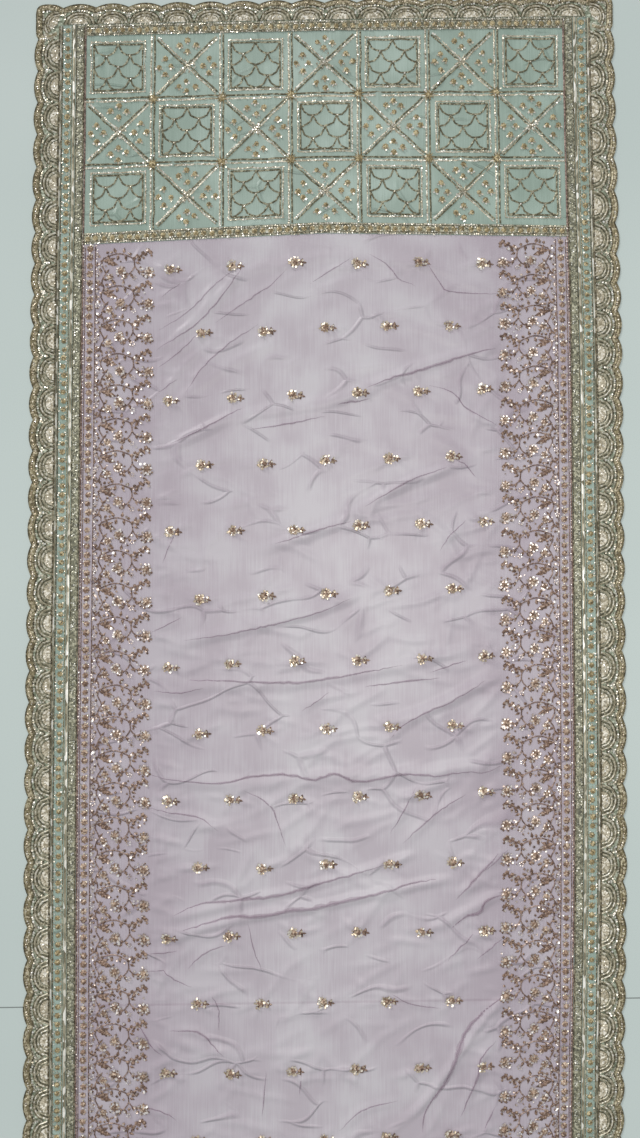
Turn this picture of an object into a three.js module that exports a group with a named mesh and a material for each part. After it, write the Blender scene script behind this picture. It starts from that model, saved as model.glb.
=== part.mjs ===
// A net saree laid out flat, in millimetres. +X runs across the cloth, +Y towards the pallu (its decorated
// end) and +Z up, with the origin on the surface it lies on, under its middle.
// Every piece is drawn in flat-cut coordinates, then placed by one rule for how the cloth lies:
//   across  distance from the midline, minus to the left
//   along   distance from the tips of the pallu's scallops, growing towards the plain inner end
import * as THREE from "three";

// Driving dimensions
const LENGTH = 5500; // pallu tips to inner end
const HALF_WIDTH = 565; // midline to the scallop tips
const GAP = 0.3; // between two pieces that meet at a seam
const NET = 1.2; // wall of the net pieces
const EDGING = 1.8; // wall of the corded scallop edging
const EDGING_CROWN = 2.8; // top of the padded half-round in each scallop
const TRIM = 0.9; // wall of the tapes and laces that are sewn on top
const SIDE_EDGING = 50; // scallop edging, tip to its straight edge, along the sides
const END_EDGING = 41; // the same, across the pallu end
const BORDER = 98; // scallop tip to the seam between mint border and lilac field
const SCALLOP_DEPTH = 7.5; // tip to notch
const CORNER = 67; // reach of the square corner scallop down the side
const CORNER_ACROSS = 56; // and across the end
const CORNER_ROUND = 15;
const SIDE_SCALLOPS = 90; // down each side, after the corner
const END_SCALLOPS = 16; // across the end, between the corners
const PALLU_SEAM = 456.5; // where the mint pallu meets the lilac field
const PALLU_LACE = 20; // width of the dense laces across the pallu
const SIDE_LACE = { from: 82, to: 97 }; // dense lace down each border, from the tips
const SIDE_TAPE = { from: 75.5, to: 80.5 }; // zari tape beside it
const HEM = 12; // turned hem at the inner end
const SIDE_STEP = 120; // length of one section of a straight side piece
const TAPER = 70; // a fold runs out to nothing over this length

// Where the scallop tips of the two sides lie, along the cloth.
const SIDES = [
  { along: 0, left: -561, right: 556 },
  { along: 800, left: -566, right: 567 },
  { along: 1500, left: -569, right: 568 },
  { along: 2300, left: -566, right: 556 },
  { along: 3300, left: -564, right: 563 },
  { along: 4400, left: -567, right: 566 },
  { along: 5500, left: -564, right: 563 },
];

// How far further down a cross thread runs at 300 mm to the left and to the right of the midline.
const SKEW = [
  { along: 0, left: 6, right: -4 },
  { along: 180, left: 8, right: -2 },
  { along: 456, left: 14, right: 4 },
  { along: 760, left: 13, right: -9 },
  { along: 1130, left: 11, right: -13 },
  { along: 1510, left: 8, right: -6 },
  { along: 1890, left: 9, right: -4 },
  { along: 2200, left: 5, right: -12 },
  { along: 2900, left: 4, right: -5 },
  { along: 3700, left: 9, right: 3 },
  { along: 4500, left: -4, right: 6 },
  { along: 5500, left: 3, right: -3 },
];

// The largest folds of the field. line is where the crest runs, as the distance along at each of
// FOLD_STATIONS across; from and to are where it fades out, rise is its height and foot half its width.
const FOLD_STATIONS = [-330, -165, 0, 165, 330];
const FOLDS = [
  { line: [690, 522, 500, 505, 574], from: -330, to: 335, rise: 5, foot: 17 },
  { line: [800, 690, 630, 606, 628], from: -330, to: -60, rise: 5, foot: 18 },
  { line: [872, 800, 787, 725, 677], from: -320, to: 340, rise: 8, foot: 20 },
  { line: [950, 905, 865, 800, 832], from: 130, to: 350, rise: 4, foot: 18 },
  { line: [1110, 1070, 1025, 935, 890], from: -150, to: 290, rise: 6, foot: 20 },
  { line: [1250, 1205, 1170, 1120, 1090], from: -320, to: 110, rise: 5, foot: 20 },
  { line: [1313, 1313, 1311, 1284, 1252], from: -310, to: 300, rise: 5, foot: 17 },
  { line: [1415, 1412, 1408, 1385, 1306], from: 80, to: 350, rise: 6, foot: 18 },
  { line: [1484, 1503, 1490, 1492, 1470], from: -360, to: 360, rise: 7, foot: 20 },
  { line: [1550, 1592, 1590, 1570, 1560], from: -360, to: -120, rise: 4, foot: 18 },
  { line: [1755, 1722, 1690, 1640, 1620], from: -320, to: 190, rise: 6, foot: 13 },
  { line: [1791, 1752, 1731, 1697, 1672], from: -310, to: 260, rise: 9, foot: 13 },
  { line: [1855, 1850, 1840, 1800, 1712], from: 180, to: 370, rise: 7, foot: 15 },
  { line: [1960, 2010, 2020, 1990, 1850], from: -330, to: -120, rise: 5, foot: 18 },
  { line: [2160, 2155, 2150, 2140, 1900], from: 120, to: 370, rise: 9, foot: 16 },
  { line: [2290, 2262, 2240, 2215, 2200], from: -290, to: 210, rise: 5, foot: 18 },
  { line: [2395, 2400, 2410, 2440, 2470], from: -160, to: 330, rise: 4, foot: 18 },
  { line: [2560, 2530, 2515, 2520, 2555], from: -320, to: 320, rise: 7, foot: 20 },
  { line: [2790, 2745, 2700, 2670, 2640], from: -330, to: 160, rise: 6, foot: 18 },
  { line: [2905, 2900, 2890, 2850, 2790], from: -20, to: 340, rise: 5, foot: 18 },
  { line: [3060, 3045, 3050, 3040, 3045], from: -360, to: 360, rise: 6, foot: 20 },
  { line: [3180, 3215, 3240, 3255, 3250], from: -340, to: -40, rise: 4, foot: 18 },
  { line: [3420, 3390, 3350, 3320, 3310], from: -270, to: 290, rise: 8, foot: 18 },
  { line: [3600, 3585, 3560, 3500, 3450], from: 40, to: 340, rise: 4, foot: 18 },
  { line: [3790, 3740, 3700, 3690, 3700], from: -340, to: 80, rise: 6, foot: 18 },
  { line: [3900, 3895, 3905, 3925, 3960], from: -100, to: 330, rise: 5, foot: 18 },
  { line: [4150, 4105, 4080, 4060, 4035], from: -310, to: 250, rise: 8, foot: 20 },
  { line: [4290, 4285, 4280, 4230, 4170], from: 70, to: 340, rise: 4, foot: 18 },
  { line: [4470, 4440, 4445, 4455, 4440], from: -350, to: 350, rise: 6, foot: 20 },
  { line: [4600, 4640, 4660, 4665, 4660], from: -330, to: -80, rise: 4, foot: 18 },
  { line: [4860, 4825, 4800, 4770, 4750], from: -280, to: 290, rise: 7, foot: 18 },
  { line: [5010, 5000, 4985, 4940, 4890], from: 20, to: 340, rise: 4, foot: 18 },
  { line: [5240, 5200, 5180, 5165, 5160], from: -330, to: 150, rise: 6, foot: 18 },
  { line: [5340, 5335, 5345, 5370, 5385], from: -20, to: 330, rise: 4, foot: 18 },
];

const COLOURS = {
  lilac: "#b9adbb",
  mint: "#9db1a6",
  edging: "#938d78",
  lace: "#9a9885",
  tape: "#c3ad98",
};

// --- Placing a flat-cut point ---

const ease = (t) => t * t * (3 - 2 * t);

// What a table says at this distance along, blended between the two rows around it.
function blend(table, along) {
  const next = THREE.MathUtils.clamp(
    table.findIndex((row) => row.along >= along),
    1,
    table.length - 1,
  );
  const [a, b] = [table[next - 1], table[next]];
  const t = ease((along - a.along) / (b.along - a.along));
  return { left: a.left + t * (b.left - a.left), right: a.right + t * (b.right - a.right) };
}

function place(across, along, height) {
  const sides = blend(SIDES, along);
  const skew = blend(SKEW, along);
  const middle = (sides.left + sides.right) / 2;
  const stretch = (sides.right - sides.left) / 2 / HALF_WIDTH;
  const down = ((across < 0 ? skew.left : skew.right) * Math.abs(across)) / 300;
  return [middle + across * stretch, LENGTH / 2 - along - down, height];
}

// --- Closed walls as lists of triangles ---

class Faces {
  constructor() {
    this.numbers = [];
  }

  triangle(a, b, c) {
    this.numbers.push(...a, ...b, ...c);
  }

  // Corners a, b, c, d in turn, anticlockwise as seen from outside.
  quad(a, b, c, d) {
    this.triangle(a, b, c);
    this.triangle(a, c, d);
  }

  geometry() {
    const made = new THREE.BufferGeometry();
    made.setAttribute("position", new THREE.Float32BufferAttribute(this.numbers, 3));
    made.computeVertexNormals();
    return made;
  }
}

// A wall over a grid of points { across, along, low, high }, whose rows go down the cloth and whose
// columns go from left to right.
function wall(grid) {
  const faces = new Faces();
  const low = grid.map((row) => row.map((p) => place(p.across, p.along, p.low)));
  const high = grid.map((row) => row.map((p) => place(p.across, p.along, p.high)));
  const lastRow = grid.length - 1;
  const lastColumn = grid[0].length - 1;
  for (let i = 0; i < lastRow; i++) {
    for (let j = 0; j < lastColumn; j++) {
      faces.quad(high[i][j], high[i + 1][j], high[i + 1][j + 1], high[i][j + 1]);
      faces.quad(low[i][j], low[i][j + 1], low[i + 1][j + 1], low[i + 1][j]);
    }
    faces.quad(low[i][0], low[i + 1][0], high[i + 1][0], high[i][0]);
    faces.quad(low[i + 1][lastColumn], low[i][lastColumn], high[i][lastColumn], high[i + 1][lastColumn]);
  }
  for (let j = 0; j < lastColumn; j++) {
    faces.quad(low[0][j + 1], low[0][j], high[0][j], high[0][j + 1]);
    faces.quad(low[lastRow][j], low[lastRow][j + 1], high[lastRow][j + 1], high[lastRow][j]);
  }
  return faces.geometry();
}

// An even strip: the given columns across and rows along, between two heights.
function strip(columns, rows, low, high) {
  return wall(rows.map((along) => columns.map((across) => ({ across, along, low, high }))));
}

function stations(from, to, step) {
  const count = Math.max(1, Math.round((to - from) / step));
  return Array.from({ length: count + 1 }, (_, i) => from + ((to - from) * i) / count);
}

// --- The field ---

const FIELD_EDGE = HALF_WIDTH - BORDER;
const FIELD_COLUMNS = [-FIELD_EDGE, ...stations(-396, 396, 66), FIELD_EDGE];

function foldLine(fold, across) {
  const reach = FOLD_STATIONS[FOLD_STATIONS.length - 1];
  const at = THREE.MathUtils.clamp(across, -reach, reach);
  const next = Math.max(1, FOLD_STATIONS.findIndex((station) => station >= at));
  const [a, b] = [FOLD_STATIONS[next - 1], FOLD_STATIONS[next]];
  return THREE.MathUtils.lerp(fold.line[next - 1], fold.line[next], (at - a) / (b - a));
}

function foldHeight(fold, across) {
  const inside = Math.min((across - fold.from) / TAPER, (fold.to - across) / TAPER);
  return fold.rise * ease(THREE.MathUtils.clamp(inside, 0, 1));
}

// Net with a fold at each row of FOLDS: its upper foot, crest and lower foot, then the turned hem.
function field() {
  const across = FIELD_COLUMNS.map((column) =>
    THREE.MathUtils.clamp(column, -FIELD_EDGE + GAP, FIELD_EDGE - GAP),
  );
  const flatRow = (along, thickness) =>
    across.map((at) => ({ across: at, along, low: 0, high: thickness }));
  const rows = [flatRow(PALLU_SEAM + GAP, NET)];
  for (const fold of FOLDS) {
    for (const side of [-1, 0, 1]) {
      rows.push(
        across.map((at) => {
          const lift = side === 0 ? foldHeight(fold, at) : 0;
          const along = foldLine(fold, at) + side * fold.foot;
          return { across: at, along, low: lift, high: lift + NET };
        }),
      );
    }
  }
  rows.push(flatRow(LENGTH - HEM - 1, NET), flatRow(LENGTH - HEM, 2 * NET), flatRow(LENGTH, 2 * NET));
  return wall(rows.flatMap((row, i) => [row, ...between(row, rows[i + 1])]));
}

// Flat rows that part two rows of the field where they lie further apart than one side section.
function between(row, next) {
  if (!next) return [];
  const widest = Math.max(...row.map((point, j) => next[j].along - point.along));
  return stations(0, 1, SIDE_STEP / widest)
    .slice(1, -1)
    .map((t) => row.map((p, j) => ({ ...p, along: THREE.MathUtils.lerp(p.along, next[j].along, t) })));
}

// --- The scallop edging ---

// One scallop's rim, as fractions of its pitch and of SCALLOP_DEPTH out from the notches.
const RIM = [0, 0.22, 0.5, 0.78, 1].map((part) => ({ part, out: 1 - (2 * part - 1) ** 2 }));

// Adds one cell of edging: its rim from notch to notch, its straight inner edge, and the padded
// half-round between them, which peaks at the crown. Points are [across, along]; the rim runs so that
// the cloth is on its left. first and last close the edging's two ends.
function edgingCell(faces, rim, innerStart, innerEnd, crown, first, last) {
  const outline = [...rim, innerEnd, innerStart];
  const top = outline.map(([across, along]) => place(across, along, EDGING));
  const base = outline.map(([across, along]) => place(across, along, 0));
  const peak = place(...crown, EDGING_CROWN);
  const middle = Math.floor(rim.length / 2);
  const [end, start] = [rim.length, rim.length + 1];
  outline.forEach((_, i) => faces.triangle(peak, top[i], top[(i + 1) % top.length]));
  for (let i = 0; i < middle; i++) faces.triangle(base[start], base[i + 1], base[i]);
  for (let i = middle; i < rim.length - 1; i++) faces.triangle(base[end], base[i + 1], base[i]);
  faces.triangle(base[start], base[end], base[middle]);
  outline.forEach((_, i) => {
    const next = (i + 1) % outline.length;
    const inside = (i === start && !first) || (i === rim.length - 1 && !last);
    if (!inside) faces.quad(base[i], base[next], top[next], top[i]);
  });
}

// side is -1 for the left edge and 1 for the right one.
function sideEdging(side) {
  const faces = new Faces();
  const point = (out, along) => [side * (HALF_WIDTH - SCALLOP_DEPTH + out), along];
  const inner = (along) => [side * (HALF_WIDTH - SIDE_EDGING), along];
  const crownIn = HALF_WIDTH - SIDE_EDGING * 0.68;
  const start = END_EDGING + GAP;
  const cells = [{ from: start, to: CORNER, rim: [[5, start], [5, CORNER - 12], [0, CORNER]] }];
  const pitch = (LENGTH - CORNER) / SIDE_SCALLOPS;
  for (let i = 0; i < SIDE_SCALLOPS; i++) {
    const from = CORNER + i * pitch;
    const rim = RIM.map(({ part, out }) => [out * SCALLOP_DEPTH, from + part * pitch]);
    cells.push({ from, to: from + pitch, rim });
  }
  cells.forEach(({ from, to, rim }, i) => {
    const points = rim.map(([out, along]) => point(out, along));
    const crown = [side * crownIn, (from + to) / 2];
    const ends = [i === 0, i === cells.length - 1];
    if (side < 0) edgingCell(faces, points, inner(from), inner(to), crown, ...ends);
    else edgingCell(faces, points.reverse(), inner(to), inner(from), crown, ...ends.reverse());
  });
  return faces.geometry();
}

// The edging across the pallu end, from right to left, with a square scallop at each corner.
function endEdging() {
  const faces = new Faces();
  const edge = HALF_WIDTH - SCALLOP_DEPTH + 5;
  const notch = HALF_WIDTH - CORNER_ACROSS;
  const cornerRim = (side) => [
    [side * edge, END_EDGING],
    [side * edge, CORNER_ROUND],
    [side * (edge - 0.3 * CORNER_ROUND), 0.3 * CORNER_ROUND],
    [side * (edge - CORNER_ROUND), 0],
    [side * notch, SCALLOP_DEPTH],
  ];
  const inner = (across) => [across, END_EDGING];
  const crownAt = END_EDGING * 0.68;
  edgingCell(faces, cornerRim(1), inner(HALF_WIDTH - SIDE_EDGING), inner(notch),
    [edge - CORNER_ROUND * 1.6, crownAt], true, false);
  const pitch = (2 * notch) / END_SCALLOPS;
  for (let i = 0; i < END_SCALLOPS; i++) {
    const from = notch - i * pitch;
    const rim = RIM.map(({ part, out }) => [from - part * pitch, SCALLOP_DEPTH * (1 - out)]);
    edgingCell(faces, rim, inner(from), inner(from - pitch), [from - pitch / 2, crownAt], false, false);
  }
  edgingCell(faces, cornerRim(-1).reverse(), inner(-notch), inner(SIDE_EDGING - HALF_WIDTH),
    [CORNER_ROUND * 1.6 - edge, crownAt], false, true);
  return faces.geometry();
}

// --- Straight pieces ---

// A piece down one side between two distances in from the scallop tips, smaller first.
function sideStrip(side, from, to, low, high) {
  const columns = [side * (HALF_WIDTH - from), side * (HALF_WIDTH - to)].sort((a, b) => a - b);
  return strip(columns, stations(END_EDGING + GAP, LENGTH, SIDE_STEP), low, high);
}

// A piece across the pallu between its side borders.
function palluStrip(from, to, low, high) {
  const columns = FIELD_COLUMNS.map((column) =>
    THREE.MathUtils.clamp(column, -FIELD_EDGE + GAP, FIELD_EDGE - GAP),
  );
  return strip(columns, stations(from, to, SIDE_STEP), low, high);
}

// --- The saree ---

const group = new THREE.Group();

function add(name, geometry, colour, roughness, metalness) {
  const material = new THREE.MeshStandardMaterial({ color: colour, roughness, metalness });
  const mesh = new THREE.Mesh(geometry, material);
  mesh.name = name;
  group.add(mesh);
}

const onTop = NET + GAP; // underside of what is sewn on top of the net
add("field_net", field(), COLOURS.lilac, 0.75, 0);
add("pallu_panel", palluStrip(END_EDGING + GAP, PALLU_SEAM, 0, NET), COLOURS.mint, 0.75, 0);
add("pallu_lace_end", palluStrip(END_EDGING + 1, END_EDGING + 1 + PALLU_LACE, onTop, onTop + TRIM),
  COLOURS.lace, 0.5, 0.3);
add("pallu_lace_seam", palluStrip(PALLU_SEAM - PALLU_LACE - 1, PALLU_SEAM - 1, onTop, onTop + TRIM),
  COLOURS.lace, 0.5, 0.3);
add("edging_end", endEdging(), COLOURS.edging, 0.5, 0.4);
for (const [name, side] of [["left", -1], ["right", 1]]) {
  add(`edging_${name}`, sideEdging(side), COLOURS.edging, 0.5, 0.4);
  add(`border_${name}`, sideStrip(side, SIDE_EDGING + GAP, BORDER, 0, NET), COLOURS.mint, 0.75, 0);
  add(`tape_${name}`, sideStrip(side, SIDE_TAPE.from, SIDE_TAPE.to, onTop, onTop + TRIM),
    COLOURS.tape, 0.4, 0.5);
  add(`lace_${name}`, sideStrip(side, SIDE_LACE.from, SIDE_LACE.to, onTop, onTop + TRIM),
    COLOURS.lace, 0.5, 0.3);
}

export default group;
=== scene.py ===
# %% [markdown]
# # A net saree, laid out flat
# The saree is 5.5 m of sheer lilac net with a mint net pallu (the decorated end), mint side borders and a
# scalloped edging worked in cord, zari (metal-wrapped thread) and sequins. The rigid model gives the size and
# place of every cut piece. Here each of them becomes a thin cloth shell, and the needlework is laid on top.
# The frame comes first, so that every later piece can be placed by what it carries.

# %% Load the frame
import math

import bpy
import numpy as np
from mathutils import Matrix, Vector


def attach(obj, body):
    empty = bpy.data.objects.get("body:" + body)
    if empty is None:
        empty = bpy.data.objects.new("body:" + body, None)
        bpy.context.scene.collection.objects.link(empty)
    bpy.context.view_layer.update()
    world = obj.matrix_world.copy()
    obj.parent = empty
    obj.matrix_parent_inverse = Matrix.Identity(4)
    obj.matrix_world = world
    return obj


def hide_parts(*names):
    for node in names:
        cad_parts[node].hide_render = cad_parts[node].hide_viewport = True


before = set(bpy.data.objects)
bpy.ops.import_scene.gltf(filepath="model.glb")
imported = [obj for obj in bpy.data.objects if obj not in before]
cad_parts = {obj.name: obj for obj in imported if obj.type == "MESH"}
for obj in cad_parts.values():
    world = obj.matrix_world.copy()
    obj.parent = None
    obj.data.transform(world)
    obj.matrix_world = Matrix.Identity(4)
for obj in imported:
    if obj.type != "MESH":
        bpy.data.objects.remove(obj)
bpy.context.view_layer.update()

MM = 0.001
rng = np.random.default_rng(7)
print("nodes:", sorted(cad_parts))

# %% [markdown]
# A saree is drawn flat before it is laid down, so everything below is placed in flat-cut millimetres:
# `across` from the midline (minus to the left) and `along` from the scallop tips of the pallu end.
# These are the sizes of the cut pieces, in mm, the same as those of the solids.

# %% Sizes of the cut
LENGTH = 5500
HALF_WIDTH = 565  # from the midline to the scallop tips
SIDE_EDGING = 50
END_EDGING = 41
BORDER = 98  # edging and mint border together
SCALLOP_DEPTH = 7.5
CORNER = 67  # what the corner scallop takes up along the side
CORNER_ACROSS = 56  # and across the end
CORNER_ROUND = 15
SIDE_SCALLOPS = 90
END_SCALLOPS = 16
PALLU_SEAM = 456.5
PALLU_LACE = 20
SEAM_GAP = 0.3
FIELD_EDGE = HALF_WIDTH - BORDER
SIDE_PITCH = (LENGTH - CORNER) / SIDE_SCALLOPS
END_PITCH = 2 * (HALF_WIDTH - CORNER_ACROSS) / END_SCALLOPS
VIEW_END = 2260  # the stretch from the pallu to here is laid out for the camera and gets the finest net
print("scallop pitch, mm: side", round(SIDE_PITCH, 1), "end", round(END_PITCH, 1))

# %% [markdown]
# ## How the cloth lies
# Nobody lays 5.5 m of cloth dead straight. Its two edges wander by a few millimetres and its cross threads
# slope. A lattice deform could do that, but the same short tables that shape the solids, blended between
# their rows, keep cloth and solids together. `lay` turns flat millimetres into metres on the floor.

# %% The lay
SIDES = [  # along, left tips, right tips
    (0, -561, 556), (800, -566, 567), (1500, -569, 568), (2300, -566, 556),
    (3300, -564, 563), (4400, -567, 566), (5500, -564, 563),
]
SKEW_AT = 300  # from the midline
SKEW = [  # along, how much further down a cross thread runs at SKEW_AT to the left, and to the right
    (0, 6, -4), (180, 8, -2), (456, 14, 4), (760, 13, -9), (1130, 11, -13), (1510, 8, -6),
    (1890, 9, -4), (2200, 5, -12), (2900, 4, -5), (3700, 9, 3), (4500, -4, 6), (5500, 3, -3),
]


def ease(t):
    return t * t * (3 - 2 * t)


def blend(table, along):
    """The left and right columns of a table at these distances along."""
    rows = np.array(table, float)
    at = np.clip(along, rows[0, 0], rows[-1, 0])
    row = np.clip(np.searchsorted(rows[:, 0], at) - 1, 0, len(rows) - 2)
    t = ease((at - rows[row, 0]) / (rows[row + 1, 0] - rows[row, 0]))
    return [rows[row, k] + t * (rows[row + 1, k] - rows[row, k]) for k in (1, 2)]


def lay(across, along, height):
    """Flat-cut points and a height in mm, as an array of places in metres."""
    left, right = blend(SIDES, along)
    down_left, down_right = blend(SKEW, along)
    down = np.where(across < 0, down_left, down_right) * np.abs(across) / SKEW_AT
    x = (left + right) / 2 + across * (right - left) / 2 / HALF_WIDTH
    return np.stack([x, LENGTH / 2 - along - down, np.broadcast_to(height, x.shape)], axis=-1) * MM


corner = lay(np.array([-HALF_WIDTH]), np.array([0.0]), 0.0)[0]
print("pallu's left corner, m:", corner.round(3).tolist())

# %% [markdown]
# ## Folds and creases
# Net is springy: it lies in long soft folds that run from one stitched flower to the next, with small sharp
# pinches on top. A cloth simulation would give some folds, but not these, so they are listed one by one.
# `FOLDS` holds the large ones, which the solids have too. `line` is the crest's distance along at five
# stations across, then where the fold fades out, its rise and half its width, all in mm.

# %% Large folds
FOLD_STATIONS = [-330, -165, 0, 165, 330]
FOLDS = [  # line, from, to, rise, foot
    ([690, 522, 500, 505, 574], -330, 335, 5, 17), ([800, 690, 630, 606, 628], -330, -60, 5, 18),
    ([872, 800, 787, 725, 677], -320, 340, 8, 20), ([950, 905, 865, 800, 832], 130, 350, 4, 18),
    ([1110, 1070, 1025, 935, 890], -150, 290, 6, 20), ([1250, 1205, 1170, 1120, 1090], -320, 110, 5, 20),
    ([1313, 1313, 1311, 1284, 1252], -310, 300, 5, 17), ([1415, 1412, 1408, 1385, 1306], 80, 350, 6, 18),
    ([1484, 1503, 1490, 1492, 1470], -360, 360, 7, 20), ([1550, 1592, 1590, 1570, 1560], -360, -120, 4, 18),
    ([1755, 1722, 1690, 1640, 1620], -320, 190, 6, 13), ([1791, 1752, 1731, 1697, 1672], -310, 260, 9, 13),
    ([1855, 1850, 1840, 1800, 1712], 180, 370, 7, 15), ([1960, 2010, 2020, 1990, 1850], -330, -120, 5, 18),
    ([2160, 2155, 2150, 2140, 1900], 120, 370, 9, 16), ([2290, 2262, 2240, 2215, 2200], -290, 210, 5, 18),
    ([2395, 2400, 2410, 2440, 2470], -160, 330, 4, 18), ([2560, 2530, 2515, 2520, 2555], -320, 320, 7, 20),
    ([2790, 2745, 2700, 2670, 2640], -330, 160, 6, 18), ([2905, 2900, 2890, 2850, 2790], -20, 340, 5, 18),
    ([3060, 3045, 3050, 3040, 3045], -360, 360, 6, 20), ([3180, 3215, 3240, 3255, 3250], -340, -40, 4, 18),
    ([3420, 3390, 3350, 3320, 3310], -270, 290, 8, 18), ([3600, 3585, 3560, 3500, 3450], 40, 340, 4, 18),
    ([3790, 3740, 3700, 3690, 3700], -340, 80, 6, 18), ([3900, 3895, 3905, 3925, 3960], -100, 330, 5, 18),
    ([4150, 4105, 4080, 4060, 4035], -310, 250, 8, 20), ([4290, 4285, 4280, 4230, 4170], 70, 340, 4, 18),
    ([4470, 4440, 4445, 4455, 4440], -350, 350, 6, 20), ([4600, 4640, 4660, 4665, 4660], -330, -80, 4, 18),
    ([4860, 4825, 4800, 4770, 4750], -280, 290, 7, 18), ([5010, 5000, 4985, 4940, 4890], 20, 340, 4, 18),
    ([5240, 5200, 5180, 5165, 5160], -330, 150, 6, 18), ([5340, 5335, 5345, 5370, 5385], -20, 330, 4, 18),
]
TAPER = 70  # a fold rises to its full height over this much of its length
print(len(FOLDS), "large folds")

# %% [markdown]
# `CREASES` holds the finer pull lines of the shown stretch as points (across, along) in mm, with how high
# the net stands there, half its width, and how high the pinched crest stands on it, where the net doubles
# and looks darker. The stretch out of view gets the same lines, mirrored and moved on.

# %% Fine creases
CREASES = [  # rise, half width, pinch, points
    (3, 13, 1.3, [(-323, 668), (-244, 620), (-189, 558), (-155, 508)]),
    (2, 12, 1.0, [(-319, 630), (-257, 592), (-210, 545), (-163, 512)]),
    (2, 11, 1.0, [(-210, 620), (-144, 577), (-106, 553), (-74, 522)]),
    (3, 13, 1.2, [(-266, 752), (-234, 706), (-187, 664), (-130, 628)]),
    (2, 13, 0.9, [(-323, 706), (-285, 678), (-238, 636)]),
    (2, 11, 0.8, [(-319, 750), (-282, 726)]),
    (2, 11, 0.8, [(-314, 566), (-276, 540)]),
    (0, 9, 2.6, [(78, 757), (121, 742), (168, 730), (215, 716), (263, 702), (323, 686)]),
    (0, 9, 1.7, [(21, 787), (83, 778)]),
    (2, 13, 1.4, [(-144, 828), (-68, 820), (-2, 809)]),
    (3, 14, 1.4, [(-295, 850), (-234, 824), (-153, 783)]),
    (2, 13, 1.0, [(187, 505), (215, 546), (238, 570), (333, 574)]),
    (2, 12, 1.0, [(83, 497), (121, 520), (140, 545), (172, 558)]),
    (2, 11, 0.9, [(-30, 553), (49, 505)]),
    (3, 13, 1.2, [(197, 756), (238, 770), (272, 806), (329, 840)]),
    (2, 12, 1.1, [(238, 896), (263, 911), (285, 936)]),
    (2, 12, 1.1, [(266, 1018), (234, 1046), (217, 1074)]),
    (2, 13, 1.4, [(-96, 1049), (-21, 1028), (49, 1011)]),
    (3, 13, 1.4, [(74, 984), (121, 958), (168, 934), (229, 916)]),
    (2, 11, 0.9, [(-310, 1078), (-285, 1022)]),
    (2, 12, 0.9, [(-329, 1209), (-272, 1182)]),
    (3, 13, 1.4, [(-266, 1226), (-163, 1214), (-21, 1184), (49, 1157)]),
    (2, 11, 1.0, [(-323, 1320), (-276, 1326), (-229, 1318)]),
    (0, 9, 2.0, [(-257, 1302), (-87, 1312), (-21, 1311), (74, 1297), (144, 1287)]),
    (0, 9, 1.5, [(74, 1325), (144, 1318), (215, 1313)]),
    (2, 11, 1.0, [(197, 1302), (266, 1282)]),
    (3, 13, 1.4, [(121, 1424), (140, 1402), (191, 1374), (238, 1356), (300, 1320)]),
    (2, 12, 0.9, [(-45, 1368), (8, 1332)]),
    (0, 10, 2.2, [(-338, 1474), (-295, 1488), (-197, 1498), (-140, 1488), (-74, 1485), (-21, 1496),
                  (17, 1486), (64, 1502), (144, 1490), (206, 1494), (266, 1488), (300, 1490), (342, 1471)]),
    (2, 12, 1.1, [(-333, 1541), (-282, 1552), (-234, 1562), (-200, 1588)]),
    (2, 12, 1.0, [(-153, 1513), (-106, 1540), (-87, 1581), (-74, 1620)]),
    (2, 12, 1.0, [(168, 1515), (144, 1562), (121, 1600)]),
    (3, 13, 1.2, [(263, 1530), (206, 1564), (144, 1620)]),
    (2, 12, 1.0, [(342, 1634), (300, 1671)]),
    (0, 8, 3.4, [(-266, 1769), (-219, 1757), (-178, 1747), (-115, 1747), (-59, 1737), (-21, 1735),
                 (74, 1716), (121, 1704), (168, 1691), (206, 1686)]),
    (0, 8, 2.4, [(-282, 1741), (-234, 1723), (-163, 1717), (-93, 1711), (-49, 1701), (111, 1658)]),
    (3, 13, 1.9, [(244, 1726), (276, 1692), (323, 1642)]),
    (0, 9, 2.6, [(238, 1777), (263, 1756), (291, 1749), (300, 1727), (333, 1716)]),
    (2, 12, 1.0, [(-257, 1841), (-219, 1810), (-178, 1800)]),
    (2, 11, 1.0, [(-329, 1812), (-276, 1809)]),
    (2, 12, 1.0, [(-338, 1845), (-304, 1844), (-282, 1860), (-248, 1876)]),
    (2, 12, 1.0, [(-144, 1760), (-134, 1803), (-115, 1855)]),
    (3, 13, 1.3, [(-348, 1940), (-323, 1982), (-304, 2002)]),
    (3, 13, 1.4, [(-291, 1956), (-238, 1958), (-210, 1982), (-187, 2006)]),
    (2, 11, 1.0, [(-215, 1888), (-198, 1917), (-197, 1958)]),
    (0, 9, 3.2, [(338, 1902), (300, 1931), (263, 1977), (234, 2055), (191, 2121), (187, 2158)]),
    (3, 13, 1.8, [(323, 1988), (295, 2020), (285, 2063), (257, 2132)]),
    (2, 12, 1.0, [(323, 2114), (300, 2160)]),
    (2, 12, 1.1, [(-348, 2094), (-295, 2110), (-276, 2124)]),
    (2, 12, 1.0, [(-108, 2035), (-115, 2120)]),
    (2, 12, 1.0, [(-42, 2036), (-45, 2082)]),
    (2, 13, 1.0, [(30, 2150), (74, 2112), (140, 2098)]),
    (2, 12, 1.0, [(125, 1898), (168, 1918), (219, 1925)]),
    (2, 12, 1.0, [(285, 1836), (333, 1796)]),
    (2, 12, 1.0, [(229, 1838), (282, 1784)]),
]
INNER_END_FREE = 40
REPEATS = [(1, 0), (-1, 1712), (1, 3424)]  # mirrored or not, and how far the lines are moved on
creases = [
    (rise, half, pinch, np.array([(side * across, along + shift) for across, along in points], float))
    for side, shift in REPEATS
    for rise, half, pinch, points in CREASES
    if max(along for _, along in points) + shift < LENGTH - INNER_END_FREE
]
print(len(creases), "fine creases, of which", len(CREASES), "in the shown stretch")

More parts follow.
